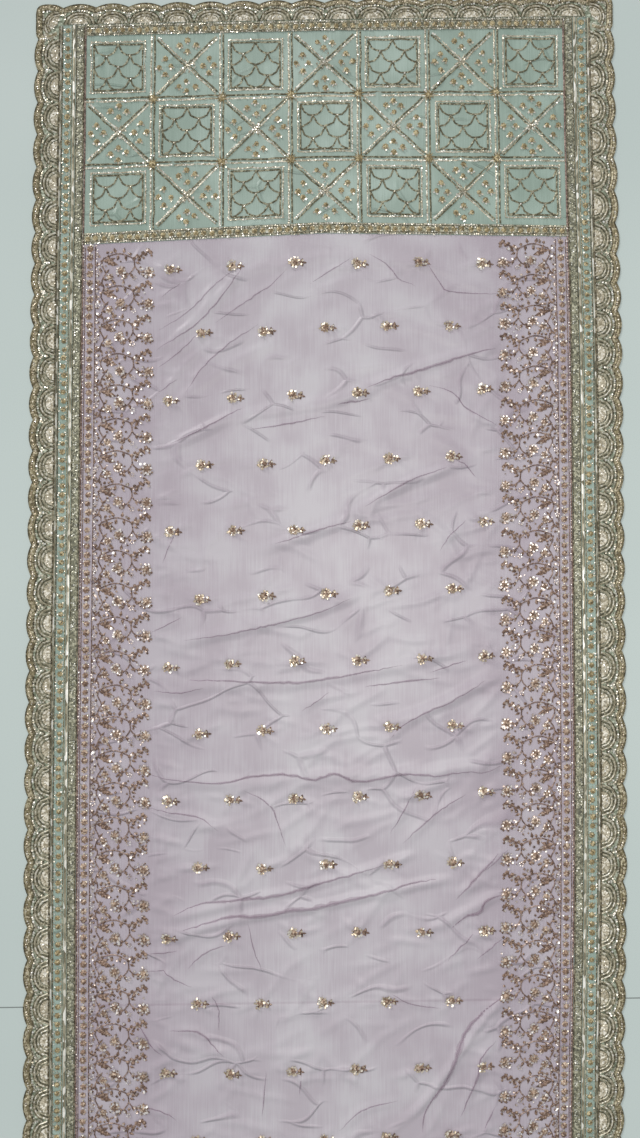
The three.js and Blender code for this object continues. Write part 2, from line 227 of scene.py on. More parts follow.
# %% [markdown]
# Small flowers (butis) are stitched through the net in staggered rows, and each one draws it together, so
# that short wrinkles fan out around it. Their places are needed for those wrinkles and again for the
# flowers.

# %% Places of the butis
BUTI_PITCH = 119
BUTI_ROW = 127
FIRST_BUTI_ROW = 513
LAST_PATTERN = LENGTH - 60  # flowers end here, short of the hem
PULLS = 5  # wrinkles around one buti
PULL_START = 7
PULL_HALF = 7.5


def buti_places():
    places = []
    row_count = int((LAST_PATTERN - FIRST_BUTI_ROW) / BUTI_ROW) + 1
    for row in range(row_count):
        count = 6 if row % 2 == 0 else 5
        for i in range(count):
            across = (i - (count - 1) / 2) * BUTI_PITCH
            places.append((across, FIRST_BUTI_ROW + row * BUTI_ROW))
    return np.array(places, float) + rng.normal(0, 1.6, (len(places), 2))


butis = buti_places()
for across, along in butis:
    for turn in rng.uniform(0, 2 * math.pi, PULLS):
        reach = rng.uniform(26, 62)
        out = np.array([math.cos(turn), 0.6 * math.sin(turn)])
        ends = [(across, along) + PULL_START * out, (across, along) + reach * out]
        creases.append((rng.uniform(1.2, 2.4), PULL_HALF, 0, np.array(ends)))
print(len(butis), "butis, each with", PULLS, "pulls")

# %% [markdown]
# The vines down the sides pull the open field in the same way, in three short lines from each branch.

# %% Pulls beside the vines
VINE_PITCH = 63.4
FIRST_MOTIF = {-1: 517.7, 1: 509.8}  # side, mm along
VINE_REACH = 238  # in from the scallop tips
VINE_INNER_EDGE = HALF_WIDTH - VINE_REACH
before = len(creases)
for side, first in FIRST_MOTIF.items():
    for along in np.arange(first, LAST_PATTERN, VINE_PITCH):
        for slope in rng.uniform(-0.5, 0.8, 3):
            start = np.array([side * (VINE_INNER_EDGE - 2), along + rng.uniform(-20, 20)])
            reach = rng.uniform(22, 70)
            end = start + (-side * reach, side * slope * reach)
            creases.append((rng.uniform(1.0, 2.2), PULL_HALF, 0, np.array([start, end])))
print(len(creases) - before, "pulls beside the vines")

# %% [markdown]
# Between all of these the net crinkles in short soft lines, most of them running up to the right as the
# large folds do, and the corded cells of the pallu pucker along the cloth. They are too many to place by
# hand, so a seeded draw sets their place, slant and length.

# %% Crinkles and puckers
CRINKLES = 700
CRINKLE_SLANT = math.radians(-18)
CRINKLE_EDGE = 330  # from the midline, where the stitched vines begin to hold the net flat
crinkle_area = (-318, PALLU_SEAM + 20), (318, LENGTH - 30)
for across, along in rng.uniform(*crinkle_area, (CRINKLES, 2)):
    slant = CRINKLE_SLANT + rng.normal(0, 0.5)
    reach = rng.uniform(22, 75)
    heading = np.array([math.cos(slant), math.sin(slant)])
    bow = np.array([-heading[1], heading[0]]) * rng.normal(0, 0.12 * reach)
    middle = np.array([across, along])
    points = np.array([middle - heading * reach, middle + bow, middle + heading * reach])
    points[:, 0] = np.clip(points[:, 0], -CRINKLE_EDGE, CRINKLE_EDGE)
    creases.append((rng.uniform(1.0, 2.4), rng.uniform(8, 12), 0, points))
PUCKERS = 240
PUCKER_HALF = 7
pucker_area = (-455, 68), (455, 428)
for across, along in rng.uniform(*pucker_area, (PUCKERS, 2)):
    reach = rng.uniform(9, 26)
    points = [(across, along - reach), (across + rng.normal(0, 4), along + reach)]
    creases.append((rng.uniform(0.8, 2.0), PUCKER_HALF, 0, np.array(points)))
print(len(creases), "creases with all the pulls, crinkles and puckers")

# %% [markdown]
# All folds are summed once into a height map of field and pallu, 3 mm to a step, and everything that lies
# on the net reads its height from there. Working each vertex out afresh would give the same heights, far
# slower. A fold's profile is a soft bell that starts and ends level, so no step shows at its foot.

# %% Height map of the net
STEP = 3.0
NET_LIFT = 0.6  # the net's mid-surface over the floor where it lies flat
map_across = np.arange(-FIELD_EDGE, FIELD_EDGE + STEP, STEP)
map_along = np.arange(END_EDGING, LENGTH + STEP, STEP)
heights = np.zeros((len(map_along), len(map_across)))
SAG = 0.62  # how much of a large fold's rise net this thin holds, where the solid wall holds all of it
CREST_SMOOTHING = 31  # steps of the map over which a crest line is rounded


def bell(t):
    return np.where(np.abs(t) < 1, (1 - np.clip(t * t, 0, 1)) ** 2, 0.0)


def add_fold(line, start, end, rise, foot):
    crest = np.interp(map_across, FOLD_STATIONS, line)
    padded = np.pad(crest, CREST_SMOOTHING // 2, mode="edge")
    crest = np.convolve(padded, np.ones(CREST_SMOOTHING) / CREST_SMOOTHING, mode="valid")
    inside = np.clip(np.minimum(map_across - start, end - map_across) / TAPER, 0, 1)
    heights[:] = np.maximum(heights, SAG * rise * ease(inside) * bell((map_along[:, None] - crest) / foot))


def add_crease(rise, half, points):
    """Lifts the net along the points, fading out towards both ends."""
    lengths = np.concatenate([[0], np.cumsum(np.linalg.norm(np.diff(points, axis=0), axis=1))])
    low, high = points.min(axis=0) - half, points.max(axis=0) + half
    columns = slice(*np.searchsorted(map_across, (low[0], high[0])))
    rows = slice(*np.searchsorted(map_along, (low[1], high[1])))
    x, y = np.meshgrid(map_across[columns], map_along[rows])
    lift = np.zeros_like(x)
    for a, b, done, after in zip(points, points[1:], lengths, lengths[1:]):
        d = b - a
        t = np.clip(((x - a[0]) * d[0] + (y - a[1]) * d[1]) / (d @ d), 0, 1)
        away = np.hypot(x - a[0] - t * d[0], y - a[1] - t * d[1])
        share = (done + t * (after - done)) / lengths[-1]
        crest = rise * np.sqrt(np.sin(np.pi * np.clip(share, 0.02, 0.98)))
        lift = np.maximum(lift, crest * bell(away / half))
    heights[rows, columns] += lift


for fold in FOLDS:
    add_fold(*fold)
for rise, half, _, points in creases:
    if rise:
        add_crease(rise, half, points)
print("highest fold, mm:", round(float(heights.max()), 1))

# %% [markdown]
# Between the folds the net lies in low swells a hand's breadth wide, which die out at the stitched borders.
# A displacement texture would move the sheet alone, so they are sines added to the same map, which all the
# needlework reads through `relief`.

# %% Swells, and reading the map
SWELLS = [(31, 57, 0.3), (43, 83, 1.9), (23, 41, 4.0), (67, 49, 5.1)]  # long, wide, phase
PALLU_SWELL = 0.3  # of a swell in the field
STILL_EDGE, STILL_FADE = 60, 90  # mm beside a border without swells, and mm over which they then grow
HELD_EDGE, HELD_END = 25, 30  # mm over which all relief dies out at a border, and at an end or the seam
swells = sum(
    math.cos(phase) * 0.5 * np.sin(map_along[:, None] / long + phase + np.sin(map_across / wide + phase))
    for long, wide, phase in SWELLS
)
edge_fade = ease(np.clip((FIELD_EDGE - STILL_EDGE - np.abs(map_across)) / STILL_FADE, 0, 1))
from_ends = np.minimum(map_along - END_EDGING, LENGTH - map_along)
end_fade = ease(np.clip(np.minimum(from_ends, np.abs(map_along - PALLU_SEAM)) / HELD_END, 0, 1))
swell_size = np.where(map_along > PALLU_SEAM, 1.0, PALLU_SWELL)[:, None]
heights += np.clip(swells + 0.5, 0, None) * edge_fade * swell_size
heights *= ease(np.clip((FIELD_EDGE - np.abs(map_across)) / HELD_EDGE, 0, 1)) * end_fade[:, None]


def relief(across, along):
    """Height of the net over the floor, in mm, at flat-cut points. Outside the field the cloth lies flat."""
    col = np.clip((across + FIELD_EDGE) / STEP, 0, len(map_across) - 1.001)
    row = np.clip((along - END_EDGING) / STEP, 0, len(map_along) - 1.001)
    i, j = row.astype(int), col.astype(int)
    p, q = row - i, col - j
    near = heights[i, j] * (1 - q) + heights[i, j + 1] * q
    far = heights[i + 1, j] * (1 - q) + heights[i + 1, j + 1] * q
    inside = (np.abs(across) < FIELD_EDGE) & (along > END_EDGING)
    return NET_LIFT + np.where(inside, near * (1 - p) + far * p, 0.0)


print("highest point of the net over its flat parts, mm:", round(float(heights.max()), 1))

# %% [markdown]
# ## Building tools
# All cloth and needlework is mesh made with numpy, because there are thousands of repeats and an array
# gives each its own place. A `Heap` gathers copies of small shapes, drawn in mm around their own middle,
# and lays them on the net: each vertex is placed in the flat cut, lifted by the relief, then laid down.

# %% Meshes and heaps
FULL_TURN = 6.3  # radians, a little over one turn, for a random heading


def make_object(name, vertices, faces, material):
    mesh = bpy.data.meshes.new(name)
    mesh.from_pydata(np.asarray(vertices).tolist(), [], np.asarray(faces).tolist())
    mesh.materials.append(material)
    obj = bpy.data.objects.new(name, mesh)
    bpy.context.scene.collection.objects.link(obj)
    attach(obj, "root")
    return obj


class Heap:
    """Many small shapes that become one piece. A shape is (vertices in mm, triangles)."""

    def __init__(self):
        self.places, self.faces, self.size = [], [], 0

    def add(self, shape, at, turn=0.0, scale=1.0, lift=0.0, tilt=0.0, mirror=1):
        """Lays a copy of the shape at each row of at. turn is in radians, tilt is how steeply copies lean."""
        vertices, triangles = shape
        at = np.atleast_2d(np.asarray(at, float))
        count = len(at)
        turn, scale, lift = (np.broadcast_to(value, count)[:, None] for value in (turn, scale, lift))
        x, y, z = (vertices[None, :, k] * scale for k in range(3))
        if tilt:
            lean = rng.uniform(-tilt, tilt, (count, 2))
            z = z + lean[:, :1] * x + lean[:, 1:] * y + tilt * np.abs(vertices[:, :2]).max() * 0.5
        across = at[:, :1] + mirror * (x * np.cos(turn) - y * np.sin(turn))
        along = at[:, 1:] + x * np.sin(turn) + y * np.cos(turn)
        height = relief(across, along) + lift + z
        self.places.append(lay(across.ravel(), along.ravel(), height.ravel()))
        faces = triangles[None] + (self.size + np.arange(count) * len(vertices))[:, None, None]
        # Along the cloth counts downwards on the floor, so an unmirrored copy is turned inside out.
        self.faces.append(faces.reshape(-1, 3)[:, ::-1] if mirror > 0 else faces.reshape(-1, 3))
        self.size += count * len(vertices)

    def count(self):
        return sum(len(faces) for faces in self.faces)

    def build(self, name, material):
        obj = make_object(name, np.concatenate(self.places), np.concatenate(self.faces), material)
        print(f"{name}: {self.count()} triangles")
        return obj


# %% [markdown]
# The small shapes are the stitcher's alphabet. A sequin is a shallow six-sided cup. A flower head is a ring
# of petals around a raised middle, as wound zari is. Round forms would cost ten times the faces and look no
# different at three millimetres.

# %% Small shapes
def fan(rim, middle):
    """A shape with one middle vertex and a closed rim."""
    count = len(rim)
    triangles = [(0, i + 1, (i + 1) % count + 1) for i in range(count)]
    return np.array([middle, *rim], float), np.array(triangles)


def round_points(count, radius, height=0.0):
    turns = [2 * math.pi * i / count for i in range(count)]
    return [(radius * math.cos(t), radius * math.sin(t), height) for t in turns]


def sequin(diameter):
    return fan(round_points(6, diameter / 2, 0.35), (0, 0, 0.1))


PETAL_NOTCH = 0.72  # how far out the rim lies between two petals


def flower_head(diameter, petals, rise):
    rim = []
    for i in range(2 * petals):
        reach = diameter / 2 * (1 if i % 2 == 0 else PETAL_NOTCH)
        turn = math.pi * i / petals
        rim.append((reach * math.cos(turn), reach * math.sin(turn), 0.2))
    return fan(rim, (0, 0, rise))


def leaf(length, width, rise):
    """Lies from the origin towards +x, with a raised midrib."""
    rim = [(0, 0, 0.1), (0.35 * length, -width / 2, 0.1), (length, 0, 0.1), (0.35 * length, width / 2, 0.1)]
    return fan(rim, (0.45 * length, 0, rise))


print("sequin:", len(sequin(3)[1]), "triangles; flower head:", len(flower_head(8, 6, 2)[1]))

# %% [markdown]
# A cord is a ridge with two faces, which is all of a round cord that shows once it is stitched down, and
# costs a third of a tube. Shapes are put together into motifs, so that a whole motif is laid at once.

# %% Cords and motifs
def cord(points, width, rise):
    """A stitched-down cord along points (x, y). Width and rise may differ from point to point."""
    points = np.asarray(points, float)
    heading = np.gradient(points, axis=0)
    side = np.stack([-heading[:, 1], heading[:, 0]], axis=1)
    side /= np.maximum(np.linalg.norm(side, axis=1, keepdims=True), 1e-9)
    widths = np.broadcast_to(width, len(points))[:, None] / 2
    rises = np.broadcast_to(rise, len(points))
    zero = np.zeros(len(points))
    rows = [
        np.column_stack([points - side * widths, zero]),
        np.column_stack([points, rises]),
        np.column_stack([points + side * widths, zero]),
    ]
    vertices = np.concatenate(rows)
    n = len(points)
    triangles = []
    for i in range(n - 1):
        for row in (0, n):
            a, b, c, d = row + i, row + i + 1, row + n + i + 1, row + n + i
            triangles += [(a, b, c), (a, c, d)]
    return vertices, np.array(triangles)


def together(*shapes):
    """Several shapes as one, so that a whole motif can be laid at once."""
    vertices, triangles, size = [], [], 0
    for points, faces in shapes:
        vertices.append(points)
        triangles.append(faces + size)
        size += len(points)
    return np.concatenate(vertices), np.concatenate(triangles)


def moved(shape, x=0.0, y=0.0, turn=0.0, z=0.0):
    points, faces = shape
    c, s = math.cos(turn), math.sin(turn)
    turned = np.column_stack([points[:, 0] * c - points[:, 1] * s, points[:, 0] * s + points[:, 1] * c])
    return np.column_stack([turned + (x, y), points[:, 2] + z]), faces


print("a cord of four points:", len(cord([(0, 0), (16, 0), (32, 0), (48, 0)], 3, 1.5)[1]), "triangles")

# %% [markdown]
# Cords follow paths. A Bezier curve with a bevel would draw one cord well, but not thousands on a relief, so
# a path here is just an array of points: straight, evenly spaced, or rounded through a few given points.

# %% Paths
SPLINE_STEPS = 6  # points between two given ones


def line(start, end, step):
    """Points from start to end, about a step apart."""
    start, end = np.array(start, float), np.array(end, float)
    count = max(1, round(float(np.linalg.norm(end - start)) / step))
    return start + (end - start) * np.linspace(0, 1, count + 1)[:, None]


def spaced(points, step):
    """Points a step apart along a path through the given points."""
    points = np.asarray(points, float)
    done = np.concatenate([[0], np.cumsum(np.linalg.norm(np.diff(points, axis=0), axis=1))])
    at = np.linspace(0, done[-1], max(2, round(done[-1] / step) + 1))
    return np.column_stack([np.interp(at, done, points[:, k]) for k in (0, 1)])


def smooth_path(points, step):
    """A rounded path (a Catmull-Rom spline) through a few given points."""
    points = np.asarray(points, float)
    padded = np.vstack([2 * points[0] - points[1], points, 2 * points[-1] - points[-2]])
    found = []
    for i in range(1, len(padded) - 2):
        p0, p1, p2, p3 = padded[i - 1 : i + 3]
        for t in np.linspace(0, 1, SPLINE_STEPS, endpoint=False):
            bend = (2 * p0 - 5 * p1 + 4 * p2 - p3) * t**2
            found.append(0.5 * (2 * p1 + (p2 - p0) * t + bend + (3 * p1 - p0 - 3 * p2 + p3) * t**3))
    found.append(padded[-2])
    return spaced(found, step)


print("points on a 100 mm line at 16 mm:", len(line((0, 0), (100, 0), 16)))

# %% [markdown]
# ## Materials
# Colours are sRGB hex values, turned linear by one function. `add_node` adds any node with its settings and
# links, so each material below reads as a list of what it does to the light.

# %% Material helpers
def linear(hex_colour):
    channels = [int(hex_colour[i : i + 2], 16) / 255 for i in (1, 3, 5)]
    return [c / 12.92 if c <= 0.04045 else ((c + 0.055) / 1.055) ** 2.4 for c in channels] + [1.0]


def add_node(tree, kind, settings=None, links=None, **values):
    """A node with attributes from settings, sockets set from values and sockets fed from links."""
    node = tree.nodes.new(kind)
    for key, value in (settings or {}).items():
        setattr(node, key, value)
    for key, value in values.items():
        node.inputs[key.replace("_", " ")].default_value = value
    for key, socket in (links or {}).items():
        tree.links.new(socket, node.inputs[key])
    return node


def new_material(name):
    """An empty material with its output node."""
    material = bpy.data.materials.new(name)
    material.use_nodes = True
    tree = material.node_tree
    tree.nodes.clear()
    return material, tree, tree.nodes.new("ShaderNodeOutputMaterial")


def finish_surface(tree, output, bsdf, **sockets):
    for key, value in sockets.items():
        bsdf.inputs[key.replace("_", " ")].default_value = value
    tree.links.new(bsdf.outputs[0], output.inputs["Surface"])


def ramp(tree, source, *stops):
    """A colour ramp over (position, hex colour) stops."""
    node = add_node(tree, "ShaderNodeValToRGB", links={"Fac": source})
    while len(node.color_ramp.elements) < len(stops):
        node.color_ramp.elements.new(0.5)
    for element, (position, colour) in zip(node.color_ramp.elements, stops):
        element.position, element.color = position, linear(colour)
    return node.outputs["Color"]


print("mid grey #808080 is", round(linear("#808080")[0], 3), "linear")

# %% [markdown]
# Nylon net (tulle) is knitted in tiny hexagons about 0.9 mm across, far too fine to show at this distance.
# What the eye gets is a sheer film that lets a part of the floor through, with faint ribs along its length
# where the knitting machine changed tension. The film is drawn with an even alpha. The ribs are noise drawn
# out along the cloth, several times the real spacing, and a slow noise gives lighter and darker patches,
# which are painted shade and sheen of the net's uneven lie.

# %% The tint of net
IN_PLANE = {"noise_dimensions": "2D"}  # cloth on a floor needs no third dimension, and it renders faster
NET_RIB = 2.2  # mm, drawn coarser than the 0.9 mm mesh so that it shows
RIB_STRETCH = 0.03  # a rib runs this much slower along the cloth than across it
# Patches of painted shade and sheen on the net:
PATCHES_PER_METRE = 11.0
PATCH_SHARE = 0.7


def net_tint(tree, coordinates, shade, middle, colour):
    """The film's colour: its own ribs, and a painted shade and sheen in slow patches."""
    drawn_out = add_node(tree, "ShaderNodeMapping", None, {"Vector": coordinates}, Scale=(1, RIB_STRETCH, 1))
    ribs = add_node(
        tree, "ShaderNodeTexNoise", IN_PLANE, {"Vector": drawn_out.outputs[0]},
        Scale=1 / (NET_RIB * MM), Detail=1.0,
    )
    # The slow patches are painted shade and sheen, not the net's own colour.
    patches = add_node(
        tree, "ShaderNodeTexNoise", IN_PLANE, {"Vector": coordinates}, Scale=PATCHES_PER_METRE, Detail=2.0
    )
    both = add_node(
        tree, "ShaderNodeMix", None, {"A": ribs.outputs["Fac"], "B": patches.outputs["Fac"]},
        Factor=PATCH_SHARE,
    )
    return ramp(tree, both.outputs[0], (0.38, shade), (0.5, middle), (0.64, colour))


print("ribs to a metre:", round(1 / (NET_RIB * MM)))

# %% [markdown]
# Net that was folded small keeps a web of hair-fine straight creases between flat facets. Modelled, they
# would need a grid far finer than the folds do. The borders between Voronoi cells, warped and faded in and
# out, are such a web: they give a bump, and a slightly denser tint on each crest, where the net doubles.

# %% The web of fine creases
FACET = 0.075  # m across, between the fine creases
CREASE_HALF = 0.06  # half a crease's width, as a share of a facet
CREASE_WANDER = 0.05  # m
CREASE_SLANT = math.radians(17)
WANDERS_PER_METRE = 10.0
AREAS_PER_METRE = 13.0  # areas with creases and areas without


def crease_web(tree, coordinates):
    """The fine creases as a height from 0 to 1."""
    slanted = add_node(
        tree, "ShaderNodeMapping", None, {"Vector": coordinates},
        Rotation=(0, 0, -CREASE_SLANT), Scale=(0.5, 1, 1),
    )
    wander = add_node(
        tree, "ShaderNodeTexNoise", IN_PLANE, {"Vector": coordinates}, Scale=WANDERS_PER_METRE, Detail=0.0
    )
    astray = add_node(
        tree, "ShaderNodeVectorMath", {"operation": "SCALE"}, {0: wander.outputs["Color"]},
        Scale=CREASE_WANDER,
    )
    warped = add_node(tree, "ShaderNodeVectorMath", None, {0: slanted.outputs[0], 1: astray.outputs[0]})
    facets = add_node(
        tree, "ShaderNodeTexVoronoi", {"feature": "DISTANCE_TO_EDGE", "voronoi_dimensions": "2D"},
        {"Vector": warped.outputs[0]}, Scale=1 / FACET,
    )
    crest = add_node(
        tree, "ShaderNodeMapRange", {"interpolation_type": "SMOOTHSTEP"},
        {"Value": facets.outputs["Distance"]}, From_Min=0.0, From_Max=CREASE_HALF, To_Min=1.0, To_Max=0.0,
    )
    area = add_node(
        tree, "ShaderNodeTexNoise", IN_PLANE, {"Vector": coordinates}, Scale=AREAS_PER_METRE, Detail=0.0
    )
    presence = add_node(
        tree, "ShaderNodeMapRange", None, {"Value": area.outputs["Fac"]}, From_Min=0.45, From_Max=0.62
    )
    ridge = add_node(
        tree, "ShaderNodeMath", {"operation": "MULTIPLY"}, {0: crest.outputs[0], 1: presence.outputs[0]}
    )
    return ridge.outputs[0]


print("facet, mm:", round(FACET / MM), "crease, mm:", round(2 * CREASE_HALF * FACET / MM, 1))

# %% [markdown]
# The tint also grows a little darker towards both sides of the field. The doubled net of a pinched crest is
# the same film, darker and drawn thin, so that it deepens what lies under it. Nylon bends light a little more
# than glass does (IOR 1.53), and its gloss is broken by the mesh, so it is half matt with a faint sheen.

# %% Net materials
CREASE_HEIGHT = 2.2  # mm
CREST_TINT = 0.35
DARKER_SIDES_FROM, DARKER_SIDES_TO = 0.1, 0.36  # m from the midline
DARKER_SIDES_TINT = 0.55


def net_material(name, shade, middle, colour, crease_tint, alpha, sheen):
    material, tree, output = new_material(name)
    coordinates = add_node(tree, "ShaderNodeTexCoord").outputs["Object"]
    tint = net_tint(tree, coordinates, shade, middle, colour)
    ridge = crease_web(tree, coordinates)
    bump = add_node(
        tree, "ShaderNodeBump", None, {"Height": ridge}, Strength=1.0, Distance=CREASE_HEIGHT * MM
    )
    slightly = add_node(tree, "ShaderNodeMath", {"operation": "MULTIPLY"}, {0: ridge})
    slightly.inputs[1].default_value = CREST_TINT
    # The tint darkens towards both sides of the field.
    place = add_node(tree, "ShaderNodeSeparateXYZ", None, {0: coordinates})
    from_middle = add_node(tree, "ShaderNodeMath", {"operation": "ABSOLUTE"}, {0: place.outputs["X"]})
    toward_sides = add_node(
        tree, "ShaderNodeMapRange", None, {"Value": from_middle.outputs[0]},
        From_Min=DARKER_SIDES_FROM, From_Max=DARKER_SIDES_TO, To_Max=DARKER_SIDES_TINT,
    )
    darkening = add_node(tree, "ShaderNodeMath", None, {0: toward_sides.outputs[0], 1: slightly.outputs[0]})
    darker_tint = ramp(tree, darkening.outputs[0], (0.0, "#ffffff"), (1.0, crease_tint))
    colour_mix = add_node(
        tree, "ShaderNodeMix", {"data_type": "RGBA", "blend_type": "MULTIPLY"}, {6: tint, 7: darker_tint},
        Factor=1.0,
    )
    bsdf = add_node(
        tree, "ShaderNodeBsdfPrincipled", None,
        {"Base Color": colour_mix.outputs[2], "Normal": bump.outputs[0]},
    )
    finish_surface(
        tree, output, bsdf, Roughness=0.42, IOR=1.53, Alpha=alpha, Sheen_Weight=sheen, Sheen_Roughness=0.35,
    )
    return material


lilac_net = net_material("nylon_net_lilac", "#c7bbc5", "#cfc5ce", "#d7d0d7", "#dfd5dd", 0.72, 0.25)
mint_net = net_material("nylon_net_mint", "#a0b2a7", "#a8baaf", "#b4c6bc", "#dde4df", 0.84, 0.2)
pinched_net = net_material("nylon_net_lilac_doubled", "#8a6c80", "#907488", "#987d91", "#ffffff", 0.24, 0.1)
print("net materials:", lilac_net.name, mint_net.name, pinched_net.name)

# %% [markdown]
# Embroidery thread is never one colour from near: each stitch turns to the light in its own way. A Voronoi
# pattern paints that: each stitch-sized cell gets its own place between a dark and a light tone, which is
# painted shade and highlight, and a small real bump. Cells of 3 to 4 mm are three or four stitches wide,
# drawn that coarse so that they show. Zari is plastic film wound on thread, so its lustre is metallic but
# broken. Couched cord is twisted, so its painted tones lie far apart. Rayon is no metal: as a fill stitch it
# is matt, and as satin stitch it is pale and even. The tape is woven of flat strips that run along it, so
# its cells are long and its painted highlights the brightest.

# %% Thread materials
STITCH_BUMP = 0.4  # mm


def thread_material(name, dark, middle, light, grain, metallic, roughness, drawn_out=1.0):
    """drawn_out is how many times longer a cell is along the cloth than across it."""
    material, tree, output = new_material(name)
    coordinates = add_node(tree, "ShaderNodeTexCoord").outputs["Object"]
    stitches = add_node(
        tree, "ShaderNodeMapping", None, {"Vector": coordinates}, Scale=(1, 1 / drawn_out, 1)
    )
    cells = add_node(
        tree, "ShaderNodeTexVoronoi", {"voronoi_dimensions": "2D"}, {"Vector": stitches.outputs[0]},
        Scale=1 / (grain * MM),
    )
    tone = add_node(tree, "ShaderNodeSeparateColor", None, {"Color": cells.outputs["Color"]})
    # Each cell's place between dark and light is painted highlight and shade of one stitch.
    tint = ramp(tree, tone.outputs["Red"], (0.0, dark), (0.6, middle), (1.0, light))
    bump = add_node(
        tree, "ShaderNodeBump", {"invert": True}, {"Height": cells.outputs["Distance"]},
        Strength=0.8, Distance=STITCH_BUMP * MM,
    )
    bsdf = add_node(tree, "ShaderNodeBsdfPrincipled", None, {"Base Color": tint, "Normal": bump.outputs[0]})
    finish_surface(tree, output, bsdf, Roughness=roughness, IOR=1.5, Metallic=metallic)
    return material


# In each thread below, the dark and light tones around the middle one are painted shade and highlight.
stitched_ground = thread_material(
    "rayon_fill_stitch_olive_mint", "#646b56", "#97a08b", "#ccd2c0", 3.4, 0.05, 0.6
)
edging_thread = thread_material("zari_couched_antique_gold", "#665c44", "#968c6c", "#d6ceb2", 3.2, 0.2, 0.48)
edging_cord = thread_material("zari_cord_twisted_dark_gold", "#443d2e", "#716953", "#b0a88f", 3.4, 0.2, 0.5)
satin_thread = thread_material("rayon_satin_stitch_champagne", "#8c8269", "#c2baa4", "#f2eee2", 3.2, 0.0, 0.5)
tape_thread = thread_material(
    "zari_tape_woven_champagne", "#6c6753", "#aca58d", "#fffcf4", 4.6, 0.3, 0.4, drawn_out=2.6
)
light_cord = thread_material("zari_cord_pale_champagne", "#8f876f", "#cbc3ab", "#fbf7ec", 3.2, 0.25, 0.42)
lace_ground = thread_material("zari_lace_ground_pewter", "#56564a", "#8a8972", "#c4c2ab", 3.2, 0.2, 0.5)
rose_cord = thread_material("zari_cord_twisted_rose_brown", "#5f4c46", "#8a736a", "#bba497", 3.0, 0.2, 0.5)
olive_cord = thread_material("zari_cord_twisted_olive", "#4f4b38", "#79745d", "#bfbba1", 3.0, 0.2, 0.5)
olive_flower = thread_material(
    "zari_wound_flower_olive_gold", "#665a3f", "#9b8a63", "#cfc19a", 2.6, 0.2, 0.45
)
gold_flower = thread_material(
    "zari_wound_flower_rose_gold", "#5e483b", "#967b68", "#d6c2ac", 2.8, 0.22, 0.45
)
vine_leaf = thread_material("zari_wound_leaf_brown", "#523e33", "#7d6354", "#b39a88", 2.6, 0.22, 0.48)
print("materials so far:", len(bpy.data.materials))

# %% [markdown]
# Sequins are punched from metallised PVC film. The film is a mirror under a clear skin, so most of them
# take the grey of the room and a few flash. Each one's own tilt does that. Voronoi cells larger than a
# sequin shift the tint from champagne to silver, as the foil varies along a reel.

# %% Sequin materials
REEL_PATCH = 5  # mm, one sequin and a bit


def sequin_material(name, dark, middle, light, roughness):
    material, tree, output = new_material(name)
    coordinates = add_node(tree, "ShaderNodeTexCoord").outputs["Object"]
    reel = add_node(
        tree, "ShaderNodeTexVoronoi", {"voronoi_dimensions": "2D"}, {"Vector": coordinates},
        Scale=1 / (REEL_PATCH * MM),
    )
    tone = add_node(tree, "ShaderNodeSeparateColor", None, {"Color": reel.outputs["Color"]})
    tint = ramp(tree, tone.outputs["Green"], (0.0, dark), (0.6, middle), (1.0, light))
    bsdf = add_node(tree, "ShaderNodeBsdfPrincipled", None, {"Base Color": tint})
    finish_surface(
        tree, output, bsdf, Roughness=roughness, IOR=1.5, Metallic=0.7, Coat_Weight=0.4, Coat_Roughness=0.1
    )
    return material


silver_sequin = sequin_material("pvc_sequin_silver_champagne", "#9c937d", "#cfc7b4", "#fbf8f2", 0.3)
gold_sequin = sequin_material("pvc_sequin_pale_gold", "#ae9b80", "#dccdb6", "#fcf8f0", 0.3)
rose_sequin = sequin_material("pvc_sequin_rose_silver", "#a08d82", "#d2c3ba", "#fcf8f5", 0.3)
pewter_sequin = sequin_material("pvc_sequin_pewter", "#6f6e5d", "#a8a792", "#f3f2ea", 0.32)
print("sequin materials:", silver_sequin.name, gold_sequin.name, rose_sequin.name, pewter_sequin.name)

# %% [markdown]
# ## The cloth shells
# Each cut piece of net is one thin open sheet on the form of its solid. A solid wall would be truer to the
# model but no truer to net, which is a third of a millimetre thick. The field's grid is finest where the
# folds are, between the vines, and coarser where the stitched borders hold it flat.

# %% Net sheets
def sheet_mesh(name, across, along, material, nodes, lift=0.0):
    """A sheet over arrays of flat-cut points, rows down the cloth and columns to the right."""
    across, along = np.broadcast_arrays(across, along)
    rows, columns = across.shape
    height = relief(across.ravel(), along.ravel()) + lift
    vertices = lay(across.ravel(), along.ravel(), height)
    corner = (np.arange(rows - 1)[:, None] * columns + np.arange(columns - 1)).ravel()
    quads = np.column_stack([corner, corner + columns, corner + columns + 1, corner + 1])
    obj = make_object(name, vertices, quads, material)
    obj.data.shade_smooth()
    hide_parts(*nodes)
    print(f"{name}: {2 * len(quads)} triangles")
    return obj


def steps(*stretches):
    """Stations through stretches of (from, to, about this far apart)."""
    parts = [np.linspace(a, b, max(1, round((b - a) / step)) + 1)[:-1] for a, b, step in stretches]
    return np.concatenate([*parts, [stretches[-1][1]]])


OPEN_HALF = 345  # half the width of the open field between the vines
inner_edge = FIELD_EDGE - SEAM_GAP
field_columns = steps((-inner_edge, -OPEN_HALF, 24), (-OPEN_HALF, OPEN_HALF, 5), (OPEN_HALF, inner_edge, 24))
field_rows = steps((PALLU_SEAM + SEAM_GAP, VIEW_END, 4.5), (VIEW_END, LENGTH, 12))
field = sheet_mesh("field_net_sheet", field_columns[None, :], field_rows[:, None], lilac_net, ["field_net"])

